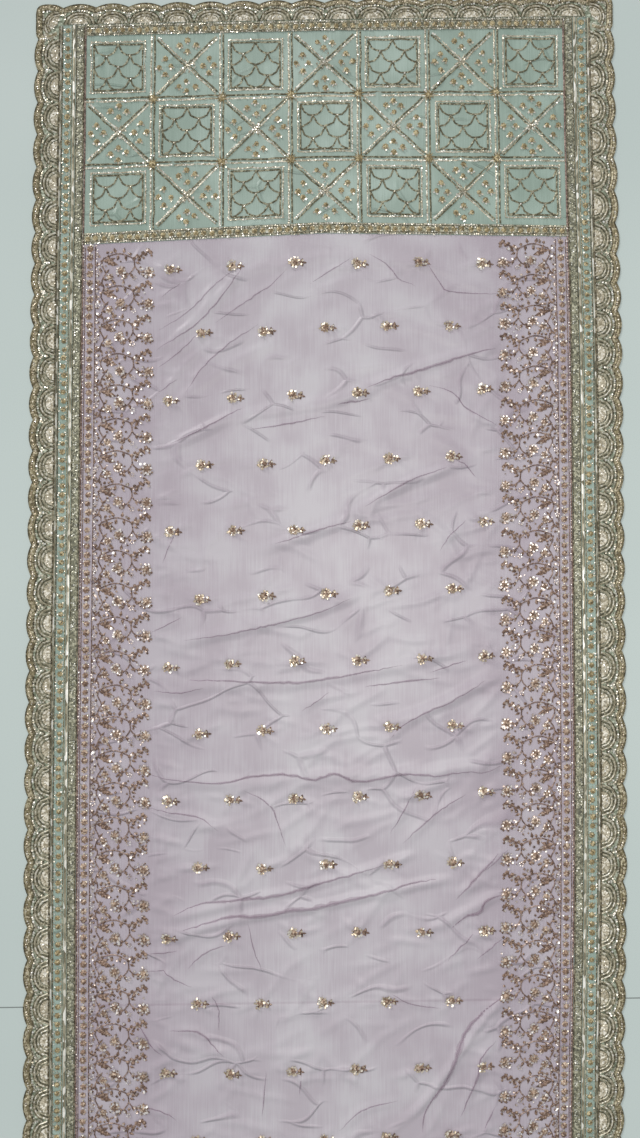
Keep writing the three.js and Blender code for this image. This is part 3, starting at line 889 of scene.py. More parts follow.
panel_columns = steps((-inner_edge, inner_edge, 6))
panel_rows = steps((END_EDGING + SEAM_GAP, PALLU_SEAM, 6))
panel = sheet_mesh("pallu_net_sheet", panel_columns[None, :], panel_rows[:, None], mint_net, ["pallu_panel"])

# %% [markdown]
# The scalloped edge is cut to its outline, so its sheet follows a rim line: each scallop is a parabola from
# notch to notch, and the corner scallops are square with a rounded corner.

# %% Rim lines
CORNER_OUT = 5  # the corner scallop stands this far out from the line of the notches
SIDE_FADE = 17  # the last of it along the side, in which its rim runs back to the notch
END_FADE = 22  # the same across the end


def side_rim(along):
    """How far the side's rim stands out from the line of the notches."""
    part = np.mod((along - CORNER) / SIDE_PITCH, 1)
    scallop = SCALLOP_DEPTH * (1 - (2 * part - 1) ** 2)
    corner_end = CORNER_OUT * (1 - np.clip((along - CORNER + SIDE_FADE) / SIDE_FADE, 0, 1) ** 2)
    return np.where(along < CORNER, corner_end, scallop)


CORNER_EDGE = HALF_WIDTH - SCALLOP_DEPTH + CORNER_OUT


def end_rim(across):
    """Where the rim of the pallu end lies, in mm along."""
    away = np.abs(across)
    notch = HALF_WIDTH - CORNER_ACROSS
    part = np.mod((across + notch) / END_PITCH, 1)
    scallop = SCALLOP_DEPTH * (2 * part - 1) ** 2
    rise = SCALLOP_DEPTH * (1 - np.clip((away - notch) / END_FADE, 0, 1)) ** 2
    turn = np.clip(away - (CORNER_EDGE - CORNER_ROUND), 0, CORNER_ROUND)
    rounding = CORNER_ROUND - np.sqrt(CORNER_ROUND**2 - turn**2)
    return np.where(away < notch, scallop, rise + rounding)


print("rim at a notch and at a tip, mm:", side_rim(np.array([CORNER, CORNER + SIDE_PITCH / 2])).round(1))

# %% [markdown]
# Each edging sheet runs from its rim to the straight line where it is sewn on, in four strips, and each
# border between two straight lines. A grid cut by a curve would leave a jagged rim or far more faces.

# %% Edging and border sheets
POINTS_PER_SCALLOP = 12
EDGING_COLUMNS = 5
BORDER_COLUMNS = 6
SIDES_BY_NAME = ((-1, "left"), (1, "right"))
borders, edgings = {}, {}
for side, where in SIDES_BY_NAME:
    along = steps((END_EDGING + SEAM_GAP, CORNER, 4), (CORNER, LENGTH, SIDE_PITCH / POINTS_PER_SCALLOP))
    outer = HALF_WIDTH - SCALLOP_DEPTH + side_rim(along)
    inner = HALF_WIDTH - SIDE_EDGING
    shares = np.linspace(0, 1, EDGING_COLUMNS) if side > 0 else np.linspace(1, 0, EDGING_COLUMNS)
    across = side * (inner + (outer - inner)[:, None] * shares)
    edgings[where] = sheet_mesh(
        f"edging_{where}_net", across, along[:, None], stitched_ground, [f"edging_{where}"]
    )
    ends = sorted([side * (inner - SEAM_GAP), side * FIELD_EDGE])
    border_rows = steps((END_EDGING + SEAM_GAP, LENGTH, 20))
    borders[where] = sheet_mesh(
        f"border_{where}_net", np.linspace(*ends, BORDER_COLUMNS)[None, :], border_rows[:, None], mint_net,
        [f"border_{where}"],
    )
round_start = CORNER_EDGE - CORNER_ROUND
end_columns = steps(
    (-CORNER_EDGE, -round_start, 2), (-round_start, round_start, 5), (round_start, CORNER_EDGE, 2)
)
end_shares = np.linspace(0, 1, EDGING_COLUMNS)[:, None]
end_rows = end_rim(end_columns) + end_shares * (END_EDGING - end_rim(end_columns))
edgings["end"] = sheet_mesh(
    "edging_end_net", end_columns[None, :], end_rows, stitched_ground, ["edging_end"]
)

# %% [markdown]
# On the crest of a sharp crease the net is pinched double, so it looks darker and closer woven there. That
# is real cloth standing up in a tiny pleat, and thin tents of net along each crease give it: a wide faint
# one and a narrow one inside it, highest in the middle and gone at the ends. Colouring the sheet would blur
# over its grid, and one tent alone looks like a drawn line.

# %% Pinched crests
PINCH_WIDTHS = (2.7, 1.1)  # across a pinch of rise 1, outer and inner tent
pinches = Heap()
for _, _, pinch, points in creases:
    if not pinch:
        continue
    path = smooth_path(points, 9) if len(points) > 2 else spaced(points, 9)
    wander = rng.normal(0, 0.6, path.shape)
    share = np.sin(np.pi * np.linspace(0.03, 0.97, len(path)))
    for order, width in enumerate(PINCH_WIDTHS):
        swell = 0.7 + 0.6 * rng.random(len(path))
        crest = cord(path + wander, width * pinch * share * swell, (0.4 + 0.3 * order) * pinch * share)
        pinches.add(crest, (0, 0), lift=0.1 + 0.1 * order)
pinched_crests = pinches.build("field_net_pinched_crests", pinched_net)

# %% [markdown]
# ## The scalloped edging
# Each scallop is worked like a fan. From the inside out: a half-round of satin stitch in ribs, dark and
# light couched cords by turns, a row of sequins, and a broad couched rim between two cords. It is drawn
# once for the sides and once for the end, with x pointing out of the cloth from its base line and y along
# the edge. All measures are those of a side scallop, and shrink with the reach of the end's.

# %% One scallop
SIDE_REACH = 47  # from base line to tip
END_REACH = END_EDGING - 1
DARK_ARCHES = [(17, 15), (24.6, 21.8), (31.5, 28)]  # half width, reach
LIGHT_ARCHES = [(21, 18.4), (28.2, 25)]
NOTCH_SEQUINS = [(12, 29.6), (17, 29.4), (21.5, 28.6), (20, 24.6)]  # out, to either side


def arch(half_width, reach, limit, count):
    """A half-ellipse over the base line, cut off where the next scallop begins."""
    span = min(half_width, limit)
    y = np.linspace(-span, span, count)
    return np.column_stack([reach * np.sqrt(np.clip(1 - (y / half_width) ** 2, 0, 1)), y])


def inset(path, distance):
    """The path moved to its left, which is into the cloth for every rim line here."""
    heading = np.gradient(path, axis=0)
    normal = np.stack([-heading[:, 1], heading[:, 0]], axis=1)
    return path + distance * normal / np.linalg.norm(normal, axis=1, keepdims=True)


def drawn_back(path, distance):
    """The path moved straight back from the edge, so that the lines of neighbouring scallops meet."""
    return path - (distance, 0)


def ribbed_half_round(half_width, reach, ribs, middle=0.0, spread=math.pi):
    """Satin stitch that radiates from the middle of the base, in ridges."""
    turns = np.linspace(middle - spread / 2, middle + spread / 2, 2 * ribs + 1)
    heights = [1.7 if i % 2 else 0.4 for i in range(len(turns))]
    rim = [(reach * math.cos(t), half_width * math.sin(t), h) for t, h in zip(turns, heights)]
    points = np.array([(0.0, 0.0, 1.0), *rim])
    triangles = np.array([(0, i + 1, i + 2) for i in range(len(rim) - 1)])
    return points, triangles


print("satin half-round:", len(ribbed_half_round(16.4, 14.4, 9)[1]), "triangles")

# %% [markdown]
# The layers of a scallop are kept apart by what they are made of, since each thread is another material.
# Its sequins are only listed as places, because each of them gets its own slip and tilt when it is laid.

# %% The layers of a scallop
def rim_layers(outline, k, shift):
    """The couched rim, two rows of gold between two dark cords, each shifted inwards from an outline."""
    dark = [cord(shift(outline, 1.2), 2.4, 1.5), cord(shift(outline, 13.4 * k), 2.2, 1.5)]
    gold = [cord(shift(outline, 4.6), 4.6, 1.7), cord(shift(outline, 9.6 * k), 5.0, 1.9)]
    return dark, gold


def scallop_shapes(reach, pitch):
    """The layers of one scallop: {what it is made of: shape}, and the places of its sequins."""
    k = reach / SIDE_REACH
    limit = pitch / 2
    y = np.linspace(-limit, limit, 11)
    outline = np.column_stack([reach - SCALLOP_DEPTH * (y / limit) ** 2, y])
    dark, gold = rim_layers(outline, k, drawn_back)
    dark += [cord(arch(wide, out * k, limit, 11), 2.0, 1.6) for wide, out in DARK_ARCHES]
    light = [cord(arch(wide, out * k, limit, 11), 3.2, 1.7) for wide, out in LIGHT_ARCHES]
    shapes = {
        "satin": ribbed_half_round(16.4, 14.4 * k, 9),
        "light": together(*light),
        "cord": together(*dark),
        "rim": together(*gold),
    }
    row = spaced(drawn_back(outline, 16.6 * k), 4.6)
    notch = [(x * k, side * y) for x, y in NOTCH_SEQUINS for side in (-1, 1)]
    inner = spaced(arch(9, 8 * k, limit, 20), 6.0)
    on_rim = spaced(drawn_back(outline, 7.0), 4.4)
    return shapes, {"silver": np.vstack([row, notch, inner]), "gold": on_rim}


side_scallop, side_sequins = scallop_shapes(SIDE_REACH, SIDE_PITCH)
end_scallop, end_sequins = scallop_shapes(END_REACH, END_PITCH)
print("triangles in one scallop:", sum(len(shape[1]) for shape in side_scallop.values()))

# %% [markdown]
# The corner scallop turns the fan through a right angle, so its rim runs round two sides and its cords are
# arcs. Its outline is listed point by point, square with a rounded corner, to meet the notches of both its
# neighbours.

# %% The corner scallop
CORNER_OUTLINE = [
    (35.6, -29.5), (37.2, -26), (40.9, -20), (42, -10), (42, 10), (42, 25), (38, 36), (27, 40.5),
    (10.5, 40.5), (-0.5, 38.6), (-11, 33.2), (-14.5, 31.4),
]
CORNER_FILLING = [(1, -17), (13, -21.5), (25, -22.5), (33, -23)]
CORNER_SCALE = 0.92  # of a side scallop's rim
CORNER_ARC = (-42, 104)  # degrees


def quarter(radius):
    t = np.radians(np.linspace(*CORNER_ARC, 13))
    return np.column_stack([radius * np.cos(t), radius * np.sin(t)])


def corner_shapes():
    """The corner scallop, with x out to the side and y up from the inner corner of the edging."""
    outline = smooth_path(CORNER_OUTLINE, 6)
    dark, gold = rim_layers(outline, CORNER_SCALE, inset)
    filling = smooth_path(CORNER_FILLING, 6)
    light = [quarter(18.6), quarter(24.2), filling + (0, 3.6)]
    shapes = {
        "satin": ribbed_half_round(15.5, 15.5, 7, middle=0.6, spread=2.3),
        "light": together(*[cord(path, 2.8, 1.5) for path in light]),
        "cord": together(*dark, *[cord(quarter(radius), 2.0, 1.6) for radius in (16.2, 21.4, 26.8)]),
        "rim": together(*gold, cord(filling, 4.4, 1.6)),
    }
    row = np.vstack([spaced(inset(outline, 15), 4.8), spaced(quarter(10), 6), spaced(filling - (0, 4), 5)])
    return shapes, {"silver": row, "gold": spaced(inset(outline, 6.3), 5.0)}


corner_work, corner_ring = corner_shapes()
print("triangles in a corner:", sum(len(shape[1]) for shape in corner_work.values()))

# %% [markdown]
# A machine works the scallops one after another, each like the last but for a few sequins lost or out of
# line. An array modifier along a curve would repeat them exactly. A heap lays each copy at its own place,
# and a seeded draw leaves out a fifth of the sequins. Laid down, along runs the other way from the corner's
# y, so the corner is flipped first and then mirrored for the left.

# %% Scallops down the sides and across the end
SCALLOP_LIFT = 0.5
SEQUINS_KEPT = 0.8
CORNER_FROM_SIDE, CORNER_FROM_END = 44.5, 0.5  # from the side's tips, and from the end edging's inner line
MATERIAL_OF = {"satin": satin_thread, "light": light_cord, "cord": edging_cord, "rim": edging_thread}
SCALLOP_SEQUINS = (("silver", silver_sequin, 3.8, 1.4), ("gold", gold_sequin, 2.8, 2.0))  # diameter, lift
edging_work = {where: [] for where in edgings}


def join(pieces, name):
    """Joins objects into one named piece, which keeps a material slot for each of them."""
    with bpy.context.temp_override(
        active_object=pieces[0], selected_editable_objects=pieces, selected_objects=pieces
    ):
        bpy.ops.object.join()
    pieces[0].name = pieces[0].data.name = name
    return pieces[0]


def lay_scallops(where, shapes, sequins, at, turn, mirror):
    for layer, shape in shapes.items():
        heap = Heap()
        heap.add(shape, at, turn=turn, lift=SCALLOP_LIFT, mirror=mirror)
        edging_work[where].append(heap.build(f"edging_{where}_{layer}", MATERIAL_OF[layer]))
    c, s = math.cos(turn), math.sin(turn)
    for tone, material, size, lift in SCALLOP_SEQUINS:
        heap = Heap()
        for x, y in sequins[tone]:
            spot = at + (mirror * (x * c - y * s), x * s + y * c) + rng.normal(0, 0.5, at.shape)
            spot = spot[rng.random(len(at)) < SEQUINS_KEPT]
            heap.add(sequin(size), spot, scale=rng.uniform(0.8, 1.15, len(spot)), lift=lift, tilt=0.3)
        edging_work[where].append(heap.build(f"edging_{where}_sequins_{tone}", material))


scallop_middles = CORNER + (np.arange(SIDE_SCALLOPS) + 0.5) * SIDE_PITCH
end_middles = (np.arange(END_SCALLOPS) - (END_SCALLOPS - 1) / 2) * END_PITCH
for side, where in SIDES_BY_NAME:
    base = side * (HALF_WIDTH - SIDE_REACH)
    at = np.column_stack([np.full(SIDE_SCALLOPS, base), scallop_middles])
    lay_scallops(where, side_scallop, side_sequins, at, 0.0, side)
at = np.column_stack([end_middles, np.full(END_SCALLOPS, END_REACH)])
lay_scallops("end", end_scallop, end_sequins, at, -math.pi / 2, 1)
flipped_ring = {tone: spots * (1, -1) for tone, spots in corner_ring.items()}
flipped = {layer: (points * (1, -1, 1), faces[:, ::-1]) for layer, (points, faces) in corner_work.items()}
for side in (-1, 1):
    inner_corner = np.array([[side * (HALF_WIDTH - CORNER_FROM_SIDE), END_EDGING - CORNER_FROM_END]])
    lay_scallops("end", flipped, flipped_ring, inner_corner, 0.0, side)
edging_embroidery = {where: join(work, f"edging_{where}_embroidery") for where, work in edging_work.items()}

# %% [markdown]
# ## The straight bands
# Down each side, and on the same lines the whole length, run couched cords, rows of sequins, a strip of
# small zari flowers on mint, a flat zari tape, a lace packed with sequins and, past the seam, another strip
# of flowers on lilac. `BANDS` lists the lines by their distance in from the scallop tips, so a change of
# layout is a change of one row. Those on the lilac net begin at the pallu's seam.

# %% Lines down the sides
BAND_STEP = 30  # between the points of a long cord
BANDS = [  # in from the tips, width, rise, material
    (48.4, 3.2, 1.6, edging_cord), (51.8, 2.8, 1.3, tape_thread), (55.0, 2.2, 1.2, edging_cord),
    (73.2, 1.8, 1.0, edging_thread), (82.8, 2.6, 1.5, edging_cord), (96.4, 2.6, 1.5, edging_cord),
    (99.8, 3.4, 1.7, rose_cord), (104.0, 1.6, 0.9, rose_cord), (123.6, 2.2, 1.3, rose_cord),
]
SEQUIN_ROWS = [  # in from the tips, pitch, diameter, share present, material
    (58.2, 6.5, 3.2, 0.6, silver_sequin), (71.0, 7.5, 3.0, 0.5, silver_sequin),
    (85.9, 4.6, 3.2, 0.6, pewter_sequin), (89.6, 4.4, 3.2, 0.55, pewter_sequin),
    (93.2, 4.8, 3.0, 0.6, pewter_sequin), (101.9, 6.5, 2.8, 0.7, rose_sequin),
    (126.6, 7.5, 3.0, 0.6, rose_sequin),
]
band_start = END_EDGING + 2.0
band_along = line((0, band_start), (0, LENGTH - 3), BAND_STEP)
side_work = {"left": [], "right": []}


def side_band(side, inward):
    """Across position of a line this far in from the tips."""
    return side * (HALF_WIDTH - inward)


for side, where in SIDES_BY_NAME:
    by_material = {}
    for inward, width, rise, material in BANDS:
        start = band_along if inward < BORDER + 2 else band_along[band_along[:, 1] > PALLU_SEAM]
        heap = by_material.setdefault(material.name, (Heap(), material))[0]
        path = start + (side_band(side, inward), 0) + rng.normal(0, 0.25, start.shape)
        heap.add(cord(path, width, rise), (0, 0), lift=0.3)
    for inward, pitch, diameter, share, material in SEQUIN_ROWS:
        first = band_start if inward < BORDER else PALLU_SEAM + 4
        spots = np.arange(first, LENGTH - 4, pitch)
        spots = spots[rng.random(len(spots)) < share]
        at = np.column_stack([np.full(len(spots), side_band(side, inward)), spots])
        heap = by_material.setdefault(material.name, (Heap(), material))[0]
        heap.add(sequin(diameter), at + rng.normal(0, 0.5, at.shape), lift=1.3, tilt=0.32,
                 scale=rng.uniform(0.85, 1.15, len(at)))
    for name, (heap, material) in by_material.items():
        side_work[where].append(heap.build(f"band_{where}_{name}", material))

# %% [markdown]
# A strip flower is seven petals of wound zari around a smaller head, 12 mm across on mint and 14 mm on
# lilac, with up to three sequins beside it that catch the light. They are set 16.4 mm apart, and the
# machine's play shows in small slips of place and size.

# %% Flower strips
STRIP_PITCH = 16.4
MINT_STRIP, LILAC_STRIP = 65.0, 113.2  # in from the tips
LILAC_STRIP_GROWTH = 1.16
BESIDE_FLOWER = ((5.2, -5.4, 0.7), (-5.6, -4.4, 0.7), (0.5, -8.2, 0.6))  # inward, along, share present
side_flower = together(flower_head(12.5, 7, 2.2), moved(flower_head(6, 4, 1.6), z=1.6))
for side, where in SIDES_BY_NAME:
    mint_flowers, lilac_flowers, strip_sequins = Heap(), Heap(), Heap()
    for inward, first in ((MINT_STRIP, band_start + 9), (LILAC_STRIP, PALLU_SEAM + 10)):
        spots = np.arange(first, LENGTH - 10, STRIP_PITCH)
        at = np.column_stack([np.full(len(spots), side_band(side, inward)), spots])
        at = at + rng.normal(0, 0.6, at.shape)
        heap, growth = (mint_flowers, 1) if inward < BORDER else (lilac_flowers, LILAC_STRIP_GROWTH)
        size = growth * rng.uniform(0.85, 1.1, len(at))
        heap.add(side_flower, at, turn=rng.uniform(0, FULL_TURN, len(at)), scale=size, lift=0.5)
        for offset_in, offset_down, share in BESIDE_FLOWER:
            shown = rng.random(len(at)) < share
            spot = at[shown] + (-side * offset_in, offset_down)
            strip_sequins.add(sequin(3.4), spot, lift=1.0, tilt=0.32, scale=rng.uniform(0.8, 1.2, len(spot)))
    side_work[where].append(mint_flowers.build(f"mint_strip_flowers_{where}", olive_flower))
    side_work[where].append(lilac_flowers.build(f"lilac_strip_flowers_{where}", gold_flower))
    side_work[where].append(strip_sequins.build(f"strip_sequins_{where}", silver_sequin))
side_embroidery = {where: join(work, f"side_bands_{where}_embroidery") for where, work in side_work.items()}

# %% [markdown]
# The zari tape and the two kinds of lace are real ribbons sewn on, each a node of its own in the model. The
# tape is woven flat metal thread with a slight crown. The lace is net filled with zari, under the sequins.

# %% Tapes and laces
TRIM_LIFT = 1.0
CROWN = TRIM_LIFT * np.array([0.6, 1.1, 1.3, 1.1, 0.6])  # over the cloth, from edge to edge
TRIMS = (  # kind, inner and outer edge in from the tips, material, slot
    ("tape", 80.5, 75.5, tape_thread, "zari_tape"),
    ("lace", 97.0, 82.0, lace_ground, "sequin_lace"),
)
trims = {}
for side, where in SIDES_BY_NAME:
    rows = steps((END_EDGING + SEAM_GAP, LENGTH, 16))[:, None]
    for kind, inner, outer, material, slot in TRIMS:
        columns = np.linspace(*sorted([side_band(side, inner), side_band(side, outer)]), len(CROWN))
        trims[kind, where] = sheet_mesh(
            f"{kind}_{where}_ribbon", columns[None, :], rows, material, [f"{kind}_{where}"]
        )
        for vertex, rise in zip(trims[kind, where].data.vertices, np.tile(CROWN, len(rows))):
            vertex.co.z += rise * MM
for where, start in (("end", END_EDGING + 1), ("seam", PALLU_SEAM - PALLU_LACE - 1)):
    rows = np.linspace(start, start + PALLU_LACE, 4)[:, None]
    trims["pallu", where] = sheet_mesh(
        f"pallu_lace_{where}_ribbon", panel_columns[None, :], rows, lace_ground, [f"pallu_lace_{where}"],
        lift=TRIM_LIFT,
    )

# %% [markdown]
# ## The pallu
# The pallu is a chequer of seven by three cells. Every other cell holds a double frame filled with fish
# scales, and the ones between hold a cross with four small flowers in each of its quarters. Each line is
# worked double, a couched cord with a row of sequins beside it, and a starburst hides where the lines cross.

# %% Chequer lines
CELLS_ACROSS, CELLS_DOWN = 7, 3
LINE_APART, ARM_APART = 6.2, 4.6  # cord and sequins of a line between cells, and of a cross
CELL_WIDTH = 2 * FIELD_EDGE / CELLS_ACROSS
CELL_ROWS = np.linspace(END_EDGING + PALLU_LACE + 1, PALLU_SEAM - PALLU_LACE - 1, CELLS_DOWN + 1)
CELL_HEIGHT = CELL_ROWS[1] - CELL_ROWS[0]
CELL_COLUMNS = (np.arange(CELLS_ACROSS + 1) - CELLS_ACROSS / 2) * CELL_WIDTH
pallu_cords, pallu_light, pallu_sequins, pallu_flowers = Heap(), Heap(), Heap(), Heap()


def sequin_row(points, pitch, diameter, share):
    """Sequins along a path, slipped a little out of line. Only this share of them is there."""
    spots = spaced(points, pitch)
    spots = spots[rng.random(len(spots)) < share] + rng.normal(0, 0.35, (1, 2))
    if len(spots):
        pallu_sequins.add(sequin(diameter), spots + rng.normal(0, 0.45, spots.shape), lift=1.0, tilt=0.32,
                          scale=rng.uniform(0.85, 1.15, len(spots)))


def hand_line(start, end):
    """A nearly straight line with the waver of cloth under the needle."""
    path = line(start, end, 16)
    path[1:-1] += rng.normal(0, 0.5, path[1:-1].shape)
    return path


def double_line(start, end, apart):
    """A couched cord with a row of sequins beside it."""
    path = hand_line(start, end)
    heading = (path[-1] - path[0]) / np.linalg.norm(path[-1] - path[0])
    aside = np.array([-heading[1], heading[0]]) * apart
    pallu_cords.add(cord(path - aside / 2, 3.6, 1.6), (0, 0), lift=0.2)
    pallu_light.add(cord(path + aside / 2, 3.2, 0.9), (0, 0), lift=0.1)
    sequin_row(path + aside / 2, 4.6, 3.6, 0.7)


for column in CELL_COLUMNS[1:-1]:
    double_line((column, CELL_ROWS[0] + 2), (column, CELL_ROWS[-1] - 2), LINE_APART)
for row in CELL_ROWS[1:-1]:
    double_line((CELL_COLUMNS[0] + 2, row), (CELL_COLUMNS[-1] - 2, row), LINE_APART)
print("cord triangles in the chequer:", pallu_cords.count())

# %% [markdown]
# A fish-scale cell is cord couched in rows of hanging arcs, each row half a scale aside from the last,
# inside a double frame. A tiled texture could draw them, but thread that stands up catches the light along
# one flank, so each arc is a cord of its own. A whole scale has one sequin at its foot.

# %% Fish-scale cells
FRAME_HALF_WIDTH, FRAME_HALF_HEIGHT = 52.5, 48.5
INNER_FRAME = 0.905  # of the outer one
SCALE_WIDTH, SCALE_ROWS = 47.5, 4
SCALE_DEPTH = 0.98  # of a row
ARC_POINTS = 7
EVEN_ROW = [(-0.5, 0, 1), (0.5, 0, 1)]  # place in scale widths, and which share of the arc is there
ODD_ROW = [(-1, 0.5, 1), (0, 0, 1), (1, 0, 0.5)]


def scale_arc(width, depth, start, end):
    """A hanging arc with its cusps up, or the part of it between two shares of its width."""
    t = np.linspace(start, end, ARC_POINTS)
    return np.column_stack([(t - 0.5) * width, depth * np.sqrt(np.clip(1 - (2 * t - 1) ** 2, 0, 1)) ** 1.15])


def scale_cell(middle):
    x, y = middle
    wide, high = FRAME_HALF_WIDTH, FRAME_HALF_HEIGHT
    ring = np.array([(-wide, -high), (wide, -high), (wide, high), (-wide, high), (-wide, -high)], float)
    for a, b in zip(ring, ring[1:]):
        outer = hand_line(a + middle, b + middle)
        pallu_light.add(cord(outer, 2.6, 0.9), (0, 0), lift=0.1)
        sequin_row(outer, 4.8, 3.4, 0.75)
        inner = hand_line(a * INNER_FRAME + middle, b * INNER_FRAME + middle)
        pallu_cords.add(cord(inner, 3.6, 1.6), (0, 0), lift=0.2)
    depth = 2 * INNER_FRAME * high / SCALE_ROWS
    top = y - INNER_FRAME * high
    for row in range(SCALE_ROWS):
        for place, start, end in ODD_ROW if row % 2 else EVEN_ROW:
            arc = scale_arc(SCALE_WIDTH, depth * SCALE_DEPTH, start, end)
            arc += rng.normal(0, 0.5, arc.shape)
            at = (x + place * SCALE_WIDTH, top + row * depth)
            pallu_cords.add(cord(arc, 3.5, 1.4), at, lift=0.2)
            if end == 1 and start == 0:
                spots = np.array([at]) + arc[[ARC_POINTS // 2]] + (0, 1.5)
                pallu_sequins.add(sequin(3.0), spots, lift=1.0, tilt=0.3)


print("a scale, mm:", SCALE_WIDTH, "by", round(2 * INNER_FRAME * FRAME_HALF_HEIGHT / SCALE_ROWS, 1))

# %% [markdown]
# In the other cells a cross runs from corner to corner. A small flower here is a wound zari dome with up to
# three sequins crowding its edge, and four of them make a rhombus in each quarter of the cross. One quarter
# is drawn and turned, squashed a little because a cell is wider than it is high.

# %% Crossed cells
CROSS_INSET = 0.86  # how far towards the cell's corners the arms of a cross reach
QUARTER_FLOWERS = [(0, -50), (15.5, -39.5), (-15.5, -39.5), (0, -28.5)]
small_flower = together(flower_head(12.5, 7, 2.2), moved(flower_head(5.6, 4, 1.4), z=1.8))
FLOWER_SEQUINS = [(5.4, 4.2), (-5.6, 3.8), (0.4, 7.0)]
FLOWER_SEQUINS_KEPT = 0.75
starburst = together(
    flower_head(14, 8, 2.6),
    *[moved(leaf(13, 3.6, 1.6), turn=turn) for turn in np.linspace(0.2, 2 * math.pi + 0.2, 11)[:-1]],
)
cross_star = together(*[moved(leaf(17, 3.4, 1.2), turn=turn) for turn in np.arange(8) * math.pi / 4 + 0.39])


def cross_cell(middle):
    for side_x, side_y in ((-1, -1), (1, -1), (1, 1), (-1, 1)):
        tip = (side_x * CELL_WIDTH / 2 * CROSS_INSET, side_y * CELL_HEIGHT / 2 * CROSS_INSET)
        double_line(middle + 0.02 * np.array(tip), middle + tip, ARM_APART)
    for quarter in range(4):
        squash = 1.0 if quarter % 2 == 0 else CELL_WIDTH / CELL_HEIGHT
        c, s = math.cos(quarter * math.pi / 2), math.sin(quarter * math.pi / 2)
        spots = np.array([(x * c - y * s * squash, x * s + y * c * squash) for x, y in QUARTER_FLOWERS])
        spots = spots + middle + rng.normal(0, 1.0, spots.shape)
        pallu_flowers.add(small_flower, spots, turn=rng.uniform(0, FULL_TURN, len(spots)), lift=0.4,
                          scale=rng.uniform(0.85, 1.1, len(spots)))
        for offset in FLOWER_SEQUINS:
            near = spots[rng.random(len(spots)) < FLOWER_SEQUINS_KEPT] + offset
            if len(near):
                pallu_sequins.add(sequin(4.8), near, lift=1.2, tilt=0.34)
    pallu_light.add(cross_star, middle, lift=0.4)
    pallu_sequins.add(sequin(4.2), middle + rng.normal(0, 8, (8, 2)), lift=1.4, tilt=0.34)


for row in range(CELLS_DOWN):
    for column in range(CELLS_ACROSS):
        middle = np.array([(column - CELLS_ACROSS // 2) * CELL_WIDTH, CELL_ROWS[row] + CELL_HEIGHT / 2])
        if (row + column) % 2 == 0:
            scale_cell(middle + rng.normal(0, 0.8, 2))
        else:
            cross_cell(middle)
crossings = np.array([(x, y) for x in CELL_COLUMNS[1:-1] for y in CELL_ROWS[1:-1]])
pallu_flowers.add(starburst, crossings + rng.normal(0, 1.0, crossings.shape), lift=1.6,
                  turn=rng.uniform(0, FULL_TURN, len(crossings)))
sequin_spots = np.repeat(crossings, 4, axis=0) + rng.normal(0, 8, (4 * len(crossings), 2))
pallu_sequins.add(sequin(4.2), sequin_spots, lift=2.0, tilt=0.34)
print("crossings under a starburst:", len(crossings))

# %% [markdown]
# The laces across the pallu carry a row of zari flowers between rows of sequins and two cords, over their
# filled ground. All the pallu's work is then joined into one piece, with a material slot for each thread.

# %% Pallu laces
LACE_FLOWER_PITCH = 16.0
LACE_CORDS = (4.0, 17.0)  # down from the lace's edge
LACE_MIDDLE = 10.5
LACE_ROWS = ((1.8, 4.6, 3.6), (6.0, 5.4, 3.0), (15.0, 5.2, 3.0), (19.2, 4.6, 3.6))  # down, pitch, diameter
for start in (END_EDGING + 1, PALLU_SEAM - PALLU_LACE - 1):
    left, right = -FIELD_EDGE + 2, FIELD_EDGE - 2
    for down, pitch, diameter in LACE_ROWS:
        sequin_row(hand_line((left, start + down), (right, start + down)), pitch, diameter, 0.88)
    for down in LACE_CORDS:
        path = hand_line((left, start + down), (right, start + down))
        pallu_cords.add(cord(path, 2.0, 1.2), (0, 0), lift=1.0)
    spots = np.arange(left + 8, right, LACE_FLOWER_PITCH)
    at = np.column_stack([spots, np.full(len(spots), start + LACE_MIDDLE)])
    pallu_flowers.add(small_flower, at + rng.normal(0, 0.6, at.shape), lift=1.2,
                      turn=rng.uniform(0, FULL_TURN, len(at)), scale=0.95)
pallu_work = join(
    [
        pallu_cords.build("pallu_cords", olive_cord),
        pallu_light.build("pallu_light_cords", light_cord),
        pallu_sequins.build("pallu_sequins", silver_sequin),
        pallu_flowers.build("pallu_flowers", olive_flower),
    ],
    "pallu_embroidery",
)

# %% [markdown]
# ## The flowering vines
# Inside each border runs a vine 110 mm wide: a wavy stem, and every 63.4 mm a branch that forks to a large
# flower at the vine's inner edge and curls back to a smaller one. The motif is drawn once, as x in from the
# scallop tips and y along the cloth from its large flower. Curves with a bevel and instanced flowers would
# look the same, but can't follow the relief vertex by vertex.

